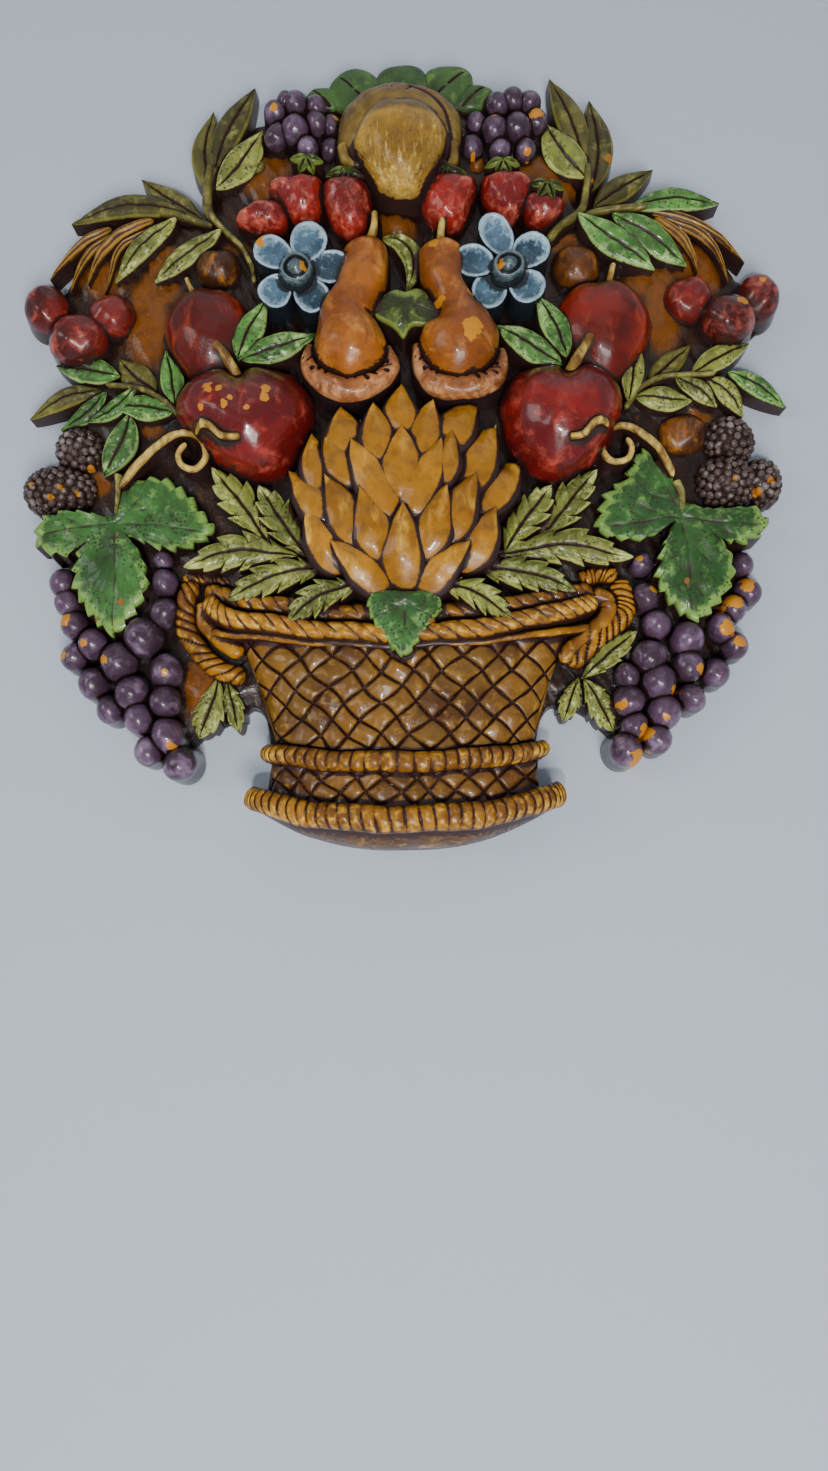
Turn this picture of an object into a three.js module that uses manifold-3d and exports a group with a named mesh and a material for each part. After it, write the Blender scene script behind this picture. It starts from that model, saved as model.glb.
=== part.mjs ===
// A moulded wall plaque: a woven basket heaped with fruit, flowers and leaves, cast in one
// piece with a flat back and one blind hanging pocket.
//
// Millimetres. The face looks along -Y, the back lies in the plane y = 0 and +Z is up.
// The layout is drawn on the face: x to the right of the centre line, z up from the foot of
// the basket, and h forward from the back. The origin is on the back, HANG_Z above the foot.

import * as THREE from 'three';
import { mergeVertices } from 'three/addons/utils/BufferGeometryUtils.js';
import Module from 'manifold-3d';

const wasm = await Module();
wasm.setup();

// ---- driving dimensions -------------------------------------------------------------

const HANG_Z = 268;                 // hanging point above the foot
const BEHIND = -2;                  // every form starts here and the back plane trims it
const DRAFT = 1.6;                  // how far a form spreads from its edge to the back
const MERGE = 1e-4;                 // points closer than this are one point

const POCKET = { width: 14, top: 263, height: 20, depth: 8, slope: 3 };
const BLOCK = { width: 320, height: 340, thickness: 30 };      // trims the back flat

const GROUND = { edge: 7, spread: 4, crown: 15 };
const GRAPE_SIDES = 6;
const FRUIT_SIDES = 12;
const LONG_LEAF = 31;               // leaves longer than this get one station more

// ---- solids -------------------------------------------------------------------------

const toPart = ([x, z], h) => new THREE.Vector3(x, -h, z - HANG_Z);
const lerp = THREE.MathUtils.lerp;
const mix = (a, b, t) => [lerp(a[0], b[0], t), lerp(a[1], b[1], t)];

// A three.js geometry as a manifold solid: shared points merged, empty triangles dropped.
function solid(geometry) {
  geometry.deleteAttribute('normal');
  geometry.deleteAttribute('uv');
  const merged = mergeVertices(geometry, MERGE);
  const index = merged.index.array;
  const triangles = [];
  for (let i = 0; i < index.length; i += 3) {
    const [a, b, c] = [index[i], index[i + 1], index[i + 2]];
    if (a !== b && b !== c && c !== a) triangles.push(a, b, c);
  }
  return new wasm.Manifold(new wasm.Mesh({
    numProp: 3,
    vertProperties: new Float32Array(merged.attributes.position.array),
    triVerts: new Uint32Array(triangles),
  }));
}

// Joins rings of equally many points. The first and last ring lie flat on a line or a
// point, so they need no lid. across(k, i) picks the diagonal of a panel.
function skin(rings, across = () => false) {
  const points = [];
  const panel = (a, b, c) => points.push(a, b, c);
  for (let k = 0; k + 1 < rings.length; k++) {
    for (let i = 0; i < rings[k].length; i++) {
      const j = (i + 1) % rings[k].length;
      const [a, b, c, d] = [rings[k][i], rings[k][j], rings[k + 1][j], rings[k + 1][i]];
      if (across(k, i)) {
        panel(a, b, d);
        panel(b, c, d);
      } else {
        panel(a, b, c);
        panel(a, c, d);
      }
    }
  }
  return solid(new THREE.BufferGeometry().setFromPoints(points));
}

// A raised form with a flat foot. Each outline point has a spine point inside it; a section
// is a list of [share, rise], where share 1 is on the outline and 0 on the spine.
function raised(outline, spine, levels, section, draft = DRAFT) {
  const turn = THREE.ShapeUtils.isClockWise(outline.map(([x, y]) => ({ x, y }))) ? -1 : 1;
  const order = outline.map((_, i) => (turn > 0 ? i : outline.length - 1 - i));
  const at = (i) => outline[(i + outline.length) % outline.length];
  const spread = ([x, z], i) => {
    const [dx, dz] = [at(i + 1)[0] - at(i - 1)[0], at(i + 1)[1] - at(i - 1)[1]];
    const reach = turn * draft / Math.hypot(dx, dz);
    return [x + dz * reach, z - dx * reach];
  };
  const rings = [
    order.map((i) => toPart(spine[i], BEHIND)),
    order.map((i) => toPart(spread(outline[i], i), BEHIND)),
  ];
  for (const [share, rise] of section) {
    rings.push(order.map((i) => toPart(mix(spine[i], outline[i], share), levels[i] + rise)));
  }
  return skin(rings);
}

// A round section that starts upright on the outline and closes over the spine.
function roundSection(rise, steps = 3) {
  return Array.from({ length: steps + 1 }, (_, k) => {
    const angle = (k / steps) * Math.PI / 2;
    return [Math.cos(angle), rise * Math.sin(angle)];
  });
}

// An upright oval fruit: egg > 0 makes it fuller above than below.
function oval(x, z, across, up, edge, top, { egg = 0, tilt = 0, sides = FRUIT_SIDES, section } = {}) {
  const outline = Array.from({ length: sides }, (_, i) => {
    const angle = (i / sides) * 2 * Math.PI;
    const u = across * Math.cos(angle) * (1 + egg * Math.sin(angle));
    const v = up * Math.sin(angle);
    return [x + u * Math.cos(tilt) - v * Math.sin(tilt), z + u * Math.sin(tilt) + v * Math.cos(tilt)];
  });
  const levels = outline.map(() => edge);
  return raised(outline, outline.map(() => [x, z]), levels, section ?? roundSection(top - edge));
}

// A long form along a smooth path. girth(s) is its half width from root to tip.
function strip(path, girth, [hRoot, hTip], section, stations = 6) {
  const curve = new THREE.CatmullRomCurve3(path.map(([x, z]) => new THREE.Vector3(x, z, 0)));
  const outline = [];
  const spine = [];
  const levels = [];
  const add = (s, side) => {
    const point = curve.getPoint(s);
    const along = curve.getTangent(s);
    const reach = side * girth(s);
    spine.push([point.x, point.y]);
    outline.push([point.x - along.y * reach, point.y + along.x * reach]);
    levels.push(lerp(hRoot, hTip, s));
  };
  for (let k = 0; k <= stations; k++) add(k / stations, -1);
  for (let k = stations - 1; k > 0; k--) add(k / stations, 1);
  return raised(outline, spine, levels, section);
}

const LEAF_SECTION = [[1, 0], [0, 1.6]];
const SCALE_SECTION = [[1, 0], [0, 3]];
const leafGirth = (width) => (s) => 0.5 * width * Math.sin(Math.PI * s ** 0.8) ** 0.75;
const roundEnds = (radius, share = 0.12) => (s) => {
  const near = Math.min(s, 1 - s) / share;
  return radius * (near < 1 ? Math.sqrt(1 - (1 - near) ** 2) : 1);
};

// A pointed leaf. bow moves its middle to the left of the way from root to tip.
function leaf([x0, z0, x1, z1, width, bow, hRoot, hTip], section = LEAF_SECTION, least = 3) {
  const length = Math.hypot(x1 - x0, z1 - z0);
  const middle = [(x0 + x1) / 2 - (z1 - z0) * bow / length, (z0 + z1) / 2 + (x1 - x0) * bow / length];
  const stations = length > LONG_LEAF ? least + 1 : least;
  return strip([[x0, z0], middle, [x1, z1]], leafGirth(width), [hRoot, hTip], section, stations);
}

// ---- ground -------------------------------------------------------------------------

const GROUND_OUTLINE = [
  [-50, 50], [-66, 48], [-78, 34], [-92, 42], [-106, 58], [-116, 92], [-125, 128], [-119, 142],
  [-122, 152], [-115, 166], [-126, 196], [-106, 226], [-73, 238], [-67, 256], [-52, 268],
  [-30, 272], [-10, 280], [18, 280], [34, 272], [54, 272], [68, 258], [74, 240], [106, 228],
  [128, 198], [117, 166], [126, 152], [126, 128], [119, 92], [106, 56], [92, 42], [78, 33],
  [70, 46], [52, 50],
];

function makeGround() {
  const points = GROUND_OUTLINE.map(([x, z]) => new THREE.Vector2(x, z));
  const slab = new THREE.ExtrudeGeometry(new THREE.Shape(points), {
    depth: 2 * GROUND.spread,
    bevelThickness: GROUND.edge,
    bevelSize: GROUND.spread,
    bevelOffset: -GROUND.spread,
    bevelSegments: 1,
  });
  slab.rotateX(Math.PI / 2);
  slab.translate(0, 2 * GROUND.spread, -HANG_Z);
  const mound = oval(0, 150, 98, 96, GROUND.edge, GROUND.crown, {
    sides: 16,
    section: [[1, -2], [0.75, 6], [0, 8]],
  });
  return [solid(slab), mound];
}

// ---- basket -------------------------------------------------------------------------

// Rows from the foot up: [z at the centre, rise of the ends, half width, h at the centre].
const BASKET_ROWS = {
  foot: [[0, 12, 47, 3], [4, 13, 50, 24]],
  footRope: [[8, 9, 53.5, 30], [14, 7, 53, 30]],
  waist: [[17, 6, 45, 25], [25, 5, 44, 24]],
  bead: [[27, 5, 46.5, 27], [30, 4, 48, 29.5], [33, 4, 46.5, 28]],
};
const BODY = { low: 35, high: 73, rows: 6, narrow: 43.5, wide: 57, depth: 25, sag: 7, pillow: 1.6 };
const BASKET_COLUMNS = 14;
const SIDE_DEPTH = 0.42;            // depth of the basket at its side edges, as a share

function basketRow(z, sag, half, depth, pillow = 0, offset = 0) {
  const front = Array.from({ length: BASKET_COLUMNS + 1 }, (_, i) => {
    const u = (2 * i) / BASKET_COLUMNS - 1;
    const bulge = SIDE_DEPTH + (1 - SIDE_DEPTH) * Math.sqrt(1 - 0.98 * u * u);
    const lift = (i + offset) % 2 === 0 ? pillow : -pillow;
    return toPart([half * u, z + sag * u * u], depth * bulge + (Math.abs(u) < 1 ? lift : 0));
  });
  return [toPart([-half - DRAFT, z + sag], BEHIND), ...front, toPart([half + DRAFT, z + sag], BEHIND)];
}

function makeBasket() {
  const rows = Object.values(BASKET_ROWS).flat().map((row) => basketRow(...row));
  for (let k = 0; k <= BODY.rows; k++) {
    const t = k / BODY.rows;
    const half = lerp(BODY.narrow, BODY.wide, t ** 1.4);
    rows.push(basketRow(lerp(BODY.low, BODY.high, t), BODY.sag, half, BODY.depth, BODY.pillow, k));
  }
  const middle = (row) => {
    const centre = row.reduce((sum, p) => sum.add(p), new THREE.Vector3()).divideScalar(row.length);
    return row.map(() => centre);
  };
  const firstLattice = Object.values(BASKET_ROWS).flat().length + 1;
  const rings = [middle(rows[0]), ...rows, middle(rows.at(-1))];
  return [skin(rings, (k, i) => k >= firstLattice && (k - firstLattice + i) % 2 === 0)];
}

const ROPES = [
  { path: [[-68, 84], [-38, 75.5], [0, 72.5], [38, 76], [68, 84]], radius: 4, heights: [17, 17], lift: 10 },
];
const HANDLES = [
  { path: [[-75, 97], [-76, 84], [-72, 73], [-65, 64], [-53, 59]], radius: 4.5, height: 12 },
  { path: [[59, 93], [71, 95], [77, 87], [76, 75], [67, 66], [53, 61]], radius: 4.8, height: 12 },
];

function makeRopes() {
  const rims = ROPES.map(({ path, radius, heights, lift }) => {
    const arched = roundSection(radius, 2).map(([share, rise]) => [share, rise + lift]);
    return strip(path, roundEnds(radius), heights, arched, 6);
  });
  const handles = HANDLES.map(({ path, radius, height }) => (
    strip(path, roundEnds(radius), [height, height], roundSection(radius, 2), 6)));
  return [...rims, ...handles];
}

// ---- artichoke ----------------------------------------------------------------------

// Rings of scales, outermost first: angles from upright, reach of the tip from the root
// point, length and width of a scale, and the height of its tip.
const HEAD = { x: 1, z: 84, across: 33, up: 30, centre: [1, 113], edge: 16, top: 30 };
const SCALES = [
  { angles: [0], reach: 74, length: 18, width: 10, height: 20 },
  { angles: [-17, -6.5, 8, 18], reach: 67, length: 19, width: 11, height: 22 },
  { angles: [-29, -20.5, 0, 22, 29], reach: 60, length: 19, width: 10, height: 26 },
  { angles: [-42, -31, -13.5, 14, 31, 43], reach: 53, length: 19, width: 11, height: 28 },
  { angles: [-46, -20, 20, 46], reach: 42, length: 20, width: 11, height: 31 },
  { angles: [-49, 49], reach: 30, length: 22, width: 12, height: 33 },
  { angles: [0], reach: 32, length: 29, width: 13, height: 35 },
];

function makeArtichoke() {
  const head = oval(...HEAD.centre, HEAD.across, HEAD.up, HEAD.edge, HEAD.top, { section: [[1, 0], [0.7, 9], [0, 14]] });
  const scales = SCALES.flatMap(({ angles, reach, length, width, height }) => angles.map((degrees) => {
    const angle = THREE.MathUtils.degToRad(degrees);
    const at = (r) => [HEAD.x + r * Math.sin(angle), HEAD.z + r * Math.cos(angle)];
    return leaf([...at(reach - length), ...at(reach), width, 0, height + 1, height], SCALE_SECTION, 2);
  }));
  return [head, ...scales];
}

// ---- fruit --------------------------------------------------------------------------

// Grapes hang in bunches: [x, z, radius], and a bunch is fuller along its middle line.
const BUNCHES = [
  { top: [-96, 100], end: [-80, 34], spread: 30, low: 8, high: 14, grapes: [
    [-82.5, 94.5, 5], [-82.5, 84, 5.5], [-89.5, 75.5, 7], [-82, 63, 6],
    [-98.5, 67, 6.5], [-93.5, 56, 6], [-119, 95.5, 5], [-117, 88.5, 5], [-115, 81, 5],
    [-108, 73.5, 5], [-115, 69.5, 5], [-107.5, 59.5, 5.5], [-82, 52.5, 5.5], [-101.5, 50.5, 5],
    [-91, 46.5, 5.5], [-81, 41, 6], [-88, 35.5, 5], [-77, 31, 6]] },
  { top: [96, 100], end: [80, 34], spread: 30, low: 8, high: 14, grapes: [
    [84.5, 98.5, 4], [85.5, 86.5, 5], [89, 77.5, 5], [99.5, 72, 6], [86.5, 66, 6],
    [78.5, 59.5, 4.5], [89, 57, 6.5], [100, 62.5, 5.5], [112.5, 76.5, 5], [117.5, 83.5, 4.5],
    [123, 89.5, 5], [121, 99, 4], [117.5, 70.5, 5], [110, 60.5, 5], [101, 51.5, 5],
    [78.5, 51, 5.5], [90.5, 46.5, 6], [80.5, 42, 4.5], [77, 33.5, 6], [88.5, 37, 5]] },
  { top: [-34, 272], end: [-34, 256], spread: 16, low: 8, high: 14, grapes: [
    [-43.5, 269, 4.5], [-35.5, 271, 4.5], [-28.5, 270, 4], [-43, 259, 4.5],
    [-36.5, 261, 5], [-28.5, 264, 4], [-23.5, 264, 4], [-31.5, 254.5, 3.5], [-23.5, 255, 4]] },
  { top: [40, 272], end: [40, 256], spread: 18, low: 8, high: 14, grapes: [
    [43.5, 272, 4], [38, 270, 4], [49.5, 272, 4], [52.5, 265, 4.5], [36.5, 261, 5],
    [44.5, 260.5, 5], [28, 255, 4.5], [38.5, 252.5, 4]] },
];

function makeGrapes() {
  return BUNCHES.flatMap(({ top, end, spread, low, high, grapes }) => grapes.map(([x, z, radius]) => {
    const down = THREE.MathUtils.clamp((top[1] - z) / (top[1] - end[1]), 0, 1);
    const aside = Math.min(1, Math.abs(x - lerp(top[0], end[0], down)) / spread);
    const centre = lerp(high, low, aside ** 2);
    return oval(x, z, radius, radius, centre, 0, { sides: GRAPE_SIDES, section: [[0.9, 0.45 * radius], [0, radius]] });
  }));
}

// [x, z, half width, half height, h of the edge, h of the top, egg, tilt in degrees]
const ROUND_FRUIT = {
  cherries: [
    [-125.5, 195, 9, 9, 8, 17, 0, 0], [-113.5, 183, 10, 10, 10, 20, 0, 0], [-101.5, 192, 8, 8, 10, 18, 0, 0],
    [129, 196, 8, 8.5, 8, 17, 0, 0], [117.5, 188, 10, 10, 10, 20, 0, 0], [104.5, 195, 8, 8, 10, 18, 0, 0]],
  backApples: [[-67, 180, 15, 18, 13, 27, 0.1, 10], [73.5, 181, 17, 19, 13, 27, 0.1, -10]],
  nuts: [[-66.5, 210, 8.5, 7.5, 10, 19, 0, 0], [65.5, 209, 8.5, 8, 10, 19, 0, 0], [100, 146, 9, 8.5, 10, 18, 0, 0]],
  frontApples: [[-55, 148, 22, 20.5, 14, 35, 0.12, 0], [57, 147, 21, 20.5, 14, 35, 0.12, 0]],
  strawberries: [
    [-48, 224, 9, 7, 12, 22, 0.15, 25], [-35, 230, 9, 9, 13, 24, 0.15, 15], [-18.5, 226.5, 8.5, 11, 14, 26, 0.18, 5],
    [19.5, 227, 8.5, 10.5, 14, 26, 0.18, -5], [38.5, 229.5, 9.5, 9.5, 13, 24, 0.15, -10], [52, 225, 7.5, 7.5, 12, 22, 0.15, -20]],
  blackberries: [
    [-114, 144, 8, 8, 9, 17, 0, 0], [-120.5, 129, 13.5, 9, 9, 19, 0, 0], [118, 144, 8.5, 9, 9, 17, 0, 0],
    [118, 128.5, 12, 9.5, 10, 20, 0, 0], [129.5, 129, 7.5, 8.5, 8, 16, 0, 0]],
};

function makeRoundFruit() {
  return Object.values(ROUND_FRUIT).flat().map(([x, z, across, up, edge, top, egg, tilt]) => (
    oval(x, z, across, up, edge, top, { egg, tilt: THREE.MathUtils.degToRad(tilt), sides: across > 12 ? FRUIT_SIDES : 6,
      section: roundSection(top - edge, across > 12 ? 3 : 2) })));
}

// A bottle gourd: a long neck that swells to a round belly standing in a thick curled lip.
const GOURDS = [
  { neck: [[-10.5, 215], [-10.5, 205], [-14, 188], [-17, 172]], belly: [-17, 168], lip: [-17, 166] },
  { neck: [[15.5, 215], [14.5, 205], [17.5, 188], [20.5, 172]], belly: [20.5, 169], lip: [22, 167] },
];
const NECK = { radius: 8, heights: [20, 25], rise: 8 };
const BELLY = { across: 13.5, up: 12, edge: 22, top: 37 };
const LIP = { across: 18, up: 13.5, edge: 18, section: [[1, 0], [0.9, 9], [0.72, 6], [0, 6]] };

function makeGourds() {
  return GOURDS.flatMap(({ neck, belly, lip }) => [
    strip(neck, roundEnds(NECK.radius, 0.2), NECK.heights, roundSection(NECK.rise, 2), 5),
    oval(...belly, BELLY.across, BELLY.up, BELLY.edge, BELLY.top),
    oval(...lip, LIP.across, LIP.up, LIP.edge, 0, { section: LIP.section }),
  ]);
}

// The melon at the top: a pale lobe inside an open shell.
const MELON = { shell: [2, 254, 21.5, 19, 14, 29], lobe: [2, 245, 15.5, 18, 20, 37], egg: 0.28 };

function makeMelon() {
  return [oval(...MELON.shell, { egg: -0.05 }), oval(...MELON.lobe, { egg: MELON.egg })];
}

// ---- flowers ------------------------------------------------------------------------

const BLOOM = { edge: 24, section: [[1, 0], [0.82, 4], [0, 1.5]] };
const CUP = { radius: 6, edge: 26, section: [[1, 0], [0.85, 6], [0.55, 6], [0, 3.5]] };
const NOTCH = 0.55;                 // how far out the notch between two petals lies
// Petals: [direction in degrees, reach of the tip, half width].
const FLOWERS = [
  { centre: [-35, 201], petals: [[-60, 17, 6], [-2, 18, 6], [55, 17, 6.5], [147, 17, 6.5], [236, 16.5, 6]] },
  { centre: [38.5, 201.5], petals: [[-56, 17, 6], [34, 17.5, 6.5], [112, 17, 6.5], [177, 17.5, 6], [238, 17, 6]] },
];

function makeFlowers() {
  return FLOWERS.flatMap(({ centre, petals }) => {
    const out = (degrees, reach) => {
      const angle = THREE.MathUtils.degToRad(degrees);
      return [centre[0] + reach * Math.cos(angle), centre[1] + reach * Math.sin(angle)];
    };
    const outline = petals.flatMap(([degrees, reach, half], i) => {
      const next = i + 1 < petals.length ? petals[i + 1][0] : petals[0][0] + 360;
      const shoulder = THREE.MathUtils.radToDeg(Math.atan(half / (0.8 * reach)));
      const side = 0.8 * reach / Math.cos(THREE.MathUtils.degToRad(shoulder));
      return [out(degrees - shoulder, side), out(degrees, reach), out(degrees + shoulder, side),
        out((degrees + next) / 2, NOTCH * reach)];
    });
    const bloom = raised(outline, outline.map(() => centre), outline.map(() => BLOOM.edge), BLOOM.section);
    const cup = oval(...centre, CUP.radius, CUP.radius, CUP.edge, 0, { sides: 8, section: CUP.section });
    return [bloom, cup];
  });
}

// ---- leaves and stalks --------------------------------------------------------------

// [root x, root z, tip x, tip z, width, bow, h at the root, h at the tip]
const LEAVES = {
  crownLeft: [
    [-68, 243, -66, 269, 11, 1, 9, 7], [-66, 250, -51.5, 278, 11, 1, 9, 7], [-66, 240, -49.5, 263, 13, 0, 12, 9],
    [-70, 231, -92, 244, 11, 1, 9, 7], [-70, 228, -117.5, 228, 10, -5, 10, 7], [-80, 227, -100, 206, 8, 0, 14, 13],
    [-68, 224, -87, 206, 8, 0, 15, 14]],
  crownRight: [
    [71, 243, 71, 271.5, 12, -2, 9, 7], [68, 250, 57.5, 280.5, 11, 0, 9, 7], [69, 243, 55, 264, 14, 0, 12, 9],
    [71, 232, 93, 245, 11, -1, 9, 7], [82, 230, 117, 231.5, 10, 3, 10, 8], [78, 229, 104, 208, 14, 1, 14, 13],
    [65, 228, 92.5, 207, 10, 0, 15, 14]],
  pairs: [
    [-55, 170, -46, 191, 12, 3, 22, 22], [-53, 171, -29, 179, 10, 1, 23, 22],
    [58, 171, 49.5, 191.5, 12, -3, 22, 22], [56, 168, 35, 181, 11, -1, 23, 22]],
  sprays: [
    [-79, 159, -82.5, 178, 9, 0, 14, 12], [-97, 166, -120.5, 174, 9, -1, 12, 8],
    [-106, 162, -130, 153.5, 10, -3, 11, 6], [-81, 157, -100.5, 159, 8, 0, 15, 14],
    [-100, 153, -100.5, 135, 12, 0, 13, 13],
    [82, 158, 86.5, 179, 9, 0, 14, 12], [89, 163, 104.5, 179, 9, 0, 13, 11], [103, 168, 124.5, 177, 9, 1, 12, 8],
    [117, 166, 136.5, 154.5, 11, 3, 11, 6], [83, 157, 98, 152, 7, 0, 15, 14]],
  acanthus: [
    [-40, 104, -63.5, 131.5, 12, -1, 18, 20], [-36, 100, -72.5, 96.5, 13, -2, 20, 20],
    [-27, 97, -58.5, 86, 10, -2, 22, 22], [-15, 91, -37.5, 77, 9, -3, 26, 27],
    [41, 104, 67.5, 128.5, 12, 1, 18, 20], [34, 101, 77.5, 100.5, 13, 3, 20, 20],
    [26, 96, 58, 87, 10, 2, 22, 22], [16, 91, 37.5, 77.5, 9, 3, 26, 27]],
  low: [
    [-65, 61, -72, 40, 12, 0, 12, 9], [-61, 60, -56.5, 42, 7, 0, 12, 9],
    [61, 59, 58, 44, 8, 0, 12, 9], [64, 58, 73, 41, 10, 0, 12, 9], [63, 61, 82, 77, 12, 0, 12, 13]],
  between: [[-7, 216, 3, 196, 7, 5, 19, 19]],
};

// Lobed leaves: the point the veins spring from, then tips and sinuses in turn round it.
const LOBED = [
  { heart: [-98.5, 115], level: 16, rise: 3, outline: [
    [-92, 108], [-80, 103], [-65, 109], [-74, 120], [-78, 131], [-92, 131], [-99, 120], [-108, 121],
    [-126, 112], [-126, 102], [-108, 105], [-112.5, 93], [-108, 82], [-98.5, 75], [-88, 84], [-86.5, 96]] },
  { heart: [98.5, 112], level: 16, rise: 3, outline: [
    [107, 108], [127, 108], [126, 116], [108, 117], [95, 128], [83, 138], [80, 127], [68, 116],
    [69, 105], [84, 107], [93, 107], [87, 95], [90, 84], [100.5, 77], [112, 84], [115, 96]] },
  { heart: [3, 193], level: 19, rise: 2, outline: [
    [9, 195], [16.5, 183], [7, 184], [2.5, 177], [-2, 185], [-9, 187.5], [-5, 193], [2, 198]] },
  { heart: [1.5, 83], level: 30, rise: 2.5, outline: [
    [8, 87], [14, 83], [9, 73], [1, 65], [-6, 73], [-11, 83], [-5, 87]] },
];

const TOP_LEAVES = [
  [-28, 274.5, 4.5, 4], [-15, 278.5, 9, 7.5], [3, 280.5, 9, 7.5], [19, 279.5, 8.5, 8], [29, 274.5, 7, 4]];
const TOP_LEAF = { edge: 5, section: [[1, 0], [0.8, 3.5], [0, 4.5]] };

// Tendrils: a path, a radius and the height of the sides.
const STALKS = [
  { path: [[-97, 127], [-87, 139], [-75, 145], [-67, 142], [-60, 139], [-51, 140]], radius: 1.9, height: 20 },
  { path: [[95, 131], [88, 139], [76, 144], [68, 141], [58, 139]], radius: 1.9, height: 20 },
];

function makeLeaves() {
  const pointed = Object.values(LEAVES).flat().map((row) => leaf(row));
  const lobed = LOBED.map(({ heart, level, rise, outline }) => (
    raised(outline, outline.map(() => heart), outline.map(() => level), [[1, 0], [0, rise]])));
  const rounded = TOP_LEAVES.map(([x, z, across, up]) => (
    oval(x, z, across, up, TOP_LEAF.edge, 0, { sides: 9, section: TOP_LEAF.section })));
  return [...pointed, ...lobed, ...rounded];
}

function makeStalks() {
  return STALKS.map(({ path, radius, height }) => (
    strip(path, roundEnds(radius), [height, height], [[1, 0], [0, radius]], 2 * path.length - 1)));
}

// ---- back ---------------------------------------------------------------------------

// The blind pocket a nail or screw head goes up into: its roof slopes up into the casting,
// so the plaque pulls itself against the wall.
function makePocket() {
  const { width, top, height, depth, slope } = POCKET;
  const shape = new THREE.Shape([
    new THREE.Vector2(-BEHIND, top - height), new THREE.Vector2(-depth, top - height),
    new THREE.Vector2(-depth, top + slope), new THREE.Vector2(0, top), new THREE.Vector2(-BEHIND, top),
  ]);
  const pocket = new THREE.ExtrudeGeometry(shape, { depth: width, bevelEnabled: false });
  pocket.translate(0, 0, -width / 2);
  pocket.applyMatrix4(new THREE.Matrix4().makeBasis(
    new THREE.Vector3(0, 1, 0), new THREE.Vector3(0, 0, 1), new THREE.Vector3(1, 0, 0)));
  pocket.translate(0, 0, -HANG_Z);
  return solid(pocket);
}

function makeBehind() {
  const block = new THREE.BoxGeometry(BLOCK.width, BLOCK.thickness, BLOCK.height);
  block.translate(0, BLOCK.thickness / 2, BLOCK.height / 2 - HANG_Z - 20);
  return solid(block);
}

// ---- the casting --------------------------------------------------------------------

const forms = [
  ...makeGround(), ...makeBasket(), ...makeRopes(), ...makeArtichoke(), ...makeGrapes(),
  ...makeRoundFruit(), ...makeGourds(), ...makeMelon(), ...makeFlowers(), ...makeLeaves(), ...makeStalks(),
];
const casting = forms.reduce((whole, form) => whole.add(form)).subtract(makeBehind()).subtract(makePocket());

const { vertProperties, triVerts, numProp } = casting.getMesh();
const geometry = new THREE.BufferGeometry();
const positions = new Float32Array((vertProperties.length / numProp) * 3);
for (let i = 0; i < positions.length / 3; i++) {
  for (let axis = 0; axis < 3; axis++) positions[3 * i + axis] = vertProperties[numProp * i + axis];
}
geometry.setAttribute('position', new THREE.BufferAttribute(positions, 3));
geometry.setIndex(new THREE.BufferAttribute(triVerts, 1));
geometry.computeVertexNormals();

const paintedPlaster = new THREE.MeshStandardMaterial({ color: 0xa8702c, roughness: 0.45, metalness: 0 });
const plaque = new THREE.Mesh(geometry, paintedPlaster);
plaque.name = 'plaque';

const part = new THREE.Group();
part.add(plaque);

export default part;
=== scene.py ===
# %% [markdown]
# # A painted plaster wall plaque
#
# The real plaque is one casting: a basket of fruit, flowers and leaves in high relief, poured
# into a mould, painted by hand and then wiped with a dark antique glaze that stays in every
# recess. It could be sculpted by eye, or pushed out of one flat sheet. Here every fruit, leaf
# and scale is worked out as its own closed surface from a few sizes, because crisp edges and
# deep undersides are what make such a casting read as relief, and because each one can then
# be painted on its own.
#
# Lengths below are millimetres on the face: x to the right of the centre line, z up from the
# foot of the basket and h out from the wall.

import bpy
import numpy as np
from mathutils import Matrix, Vector


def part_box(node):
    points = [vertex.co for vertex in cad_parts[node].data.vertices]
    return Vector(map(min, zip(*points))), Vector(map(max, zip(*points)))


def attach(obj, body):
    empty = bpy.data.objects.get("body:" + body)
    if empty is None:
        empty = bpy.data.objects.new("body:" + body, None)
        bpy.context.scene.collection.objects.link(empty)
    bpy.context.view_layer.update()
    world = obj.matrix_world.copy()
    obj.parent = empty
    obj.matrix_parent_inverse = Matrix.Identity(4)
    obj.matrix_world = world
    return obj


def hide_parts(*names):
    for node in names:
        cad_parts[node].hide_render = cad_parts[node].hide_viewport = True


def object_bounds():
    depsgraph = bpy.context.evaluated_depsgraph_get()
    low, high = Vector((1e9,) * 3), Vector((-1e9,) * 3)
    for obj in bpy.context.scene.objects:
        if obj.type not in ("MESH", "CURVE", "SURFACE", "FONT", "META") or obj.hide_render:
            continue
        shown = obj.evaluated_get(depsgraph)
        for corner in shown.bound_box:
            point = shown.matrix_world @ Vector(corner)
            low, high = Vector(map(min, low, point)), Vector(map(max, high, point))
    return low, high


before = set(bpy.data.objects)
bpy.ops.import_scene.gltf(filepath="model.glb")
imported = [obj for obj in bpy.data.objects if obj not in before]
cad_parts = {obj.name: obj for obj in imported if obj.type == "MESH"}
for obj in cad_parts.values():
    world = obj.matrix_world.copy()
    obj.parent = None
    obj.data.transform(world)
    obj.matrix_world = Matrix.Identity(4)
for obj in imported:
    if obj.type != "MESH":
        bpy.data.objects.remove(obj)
CAD_LOW, CAD_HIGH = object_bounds()
LOW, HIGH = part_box("plaque")

DRAWN_HEIGHT = 289.0                      # the face is laid out 289 mm high
MM = (HIGH.z - LOW.z) / DRAWN_HEIGHT      # one drawn millimetre, in metres
FOOT_Z = LOW.z
BACK_Y = HIGH.y
TAU = 2 * np.pi
print("plaque", [round(v, 4) for v in HIGH - LOW], "m, one unit is", round(MM, 6), "m")


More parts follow.
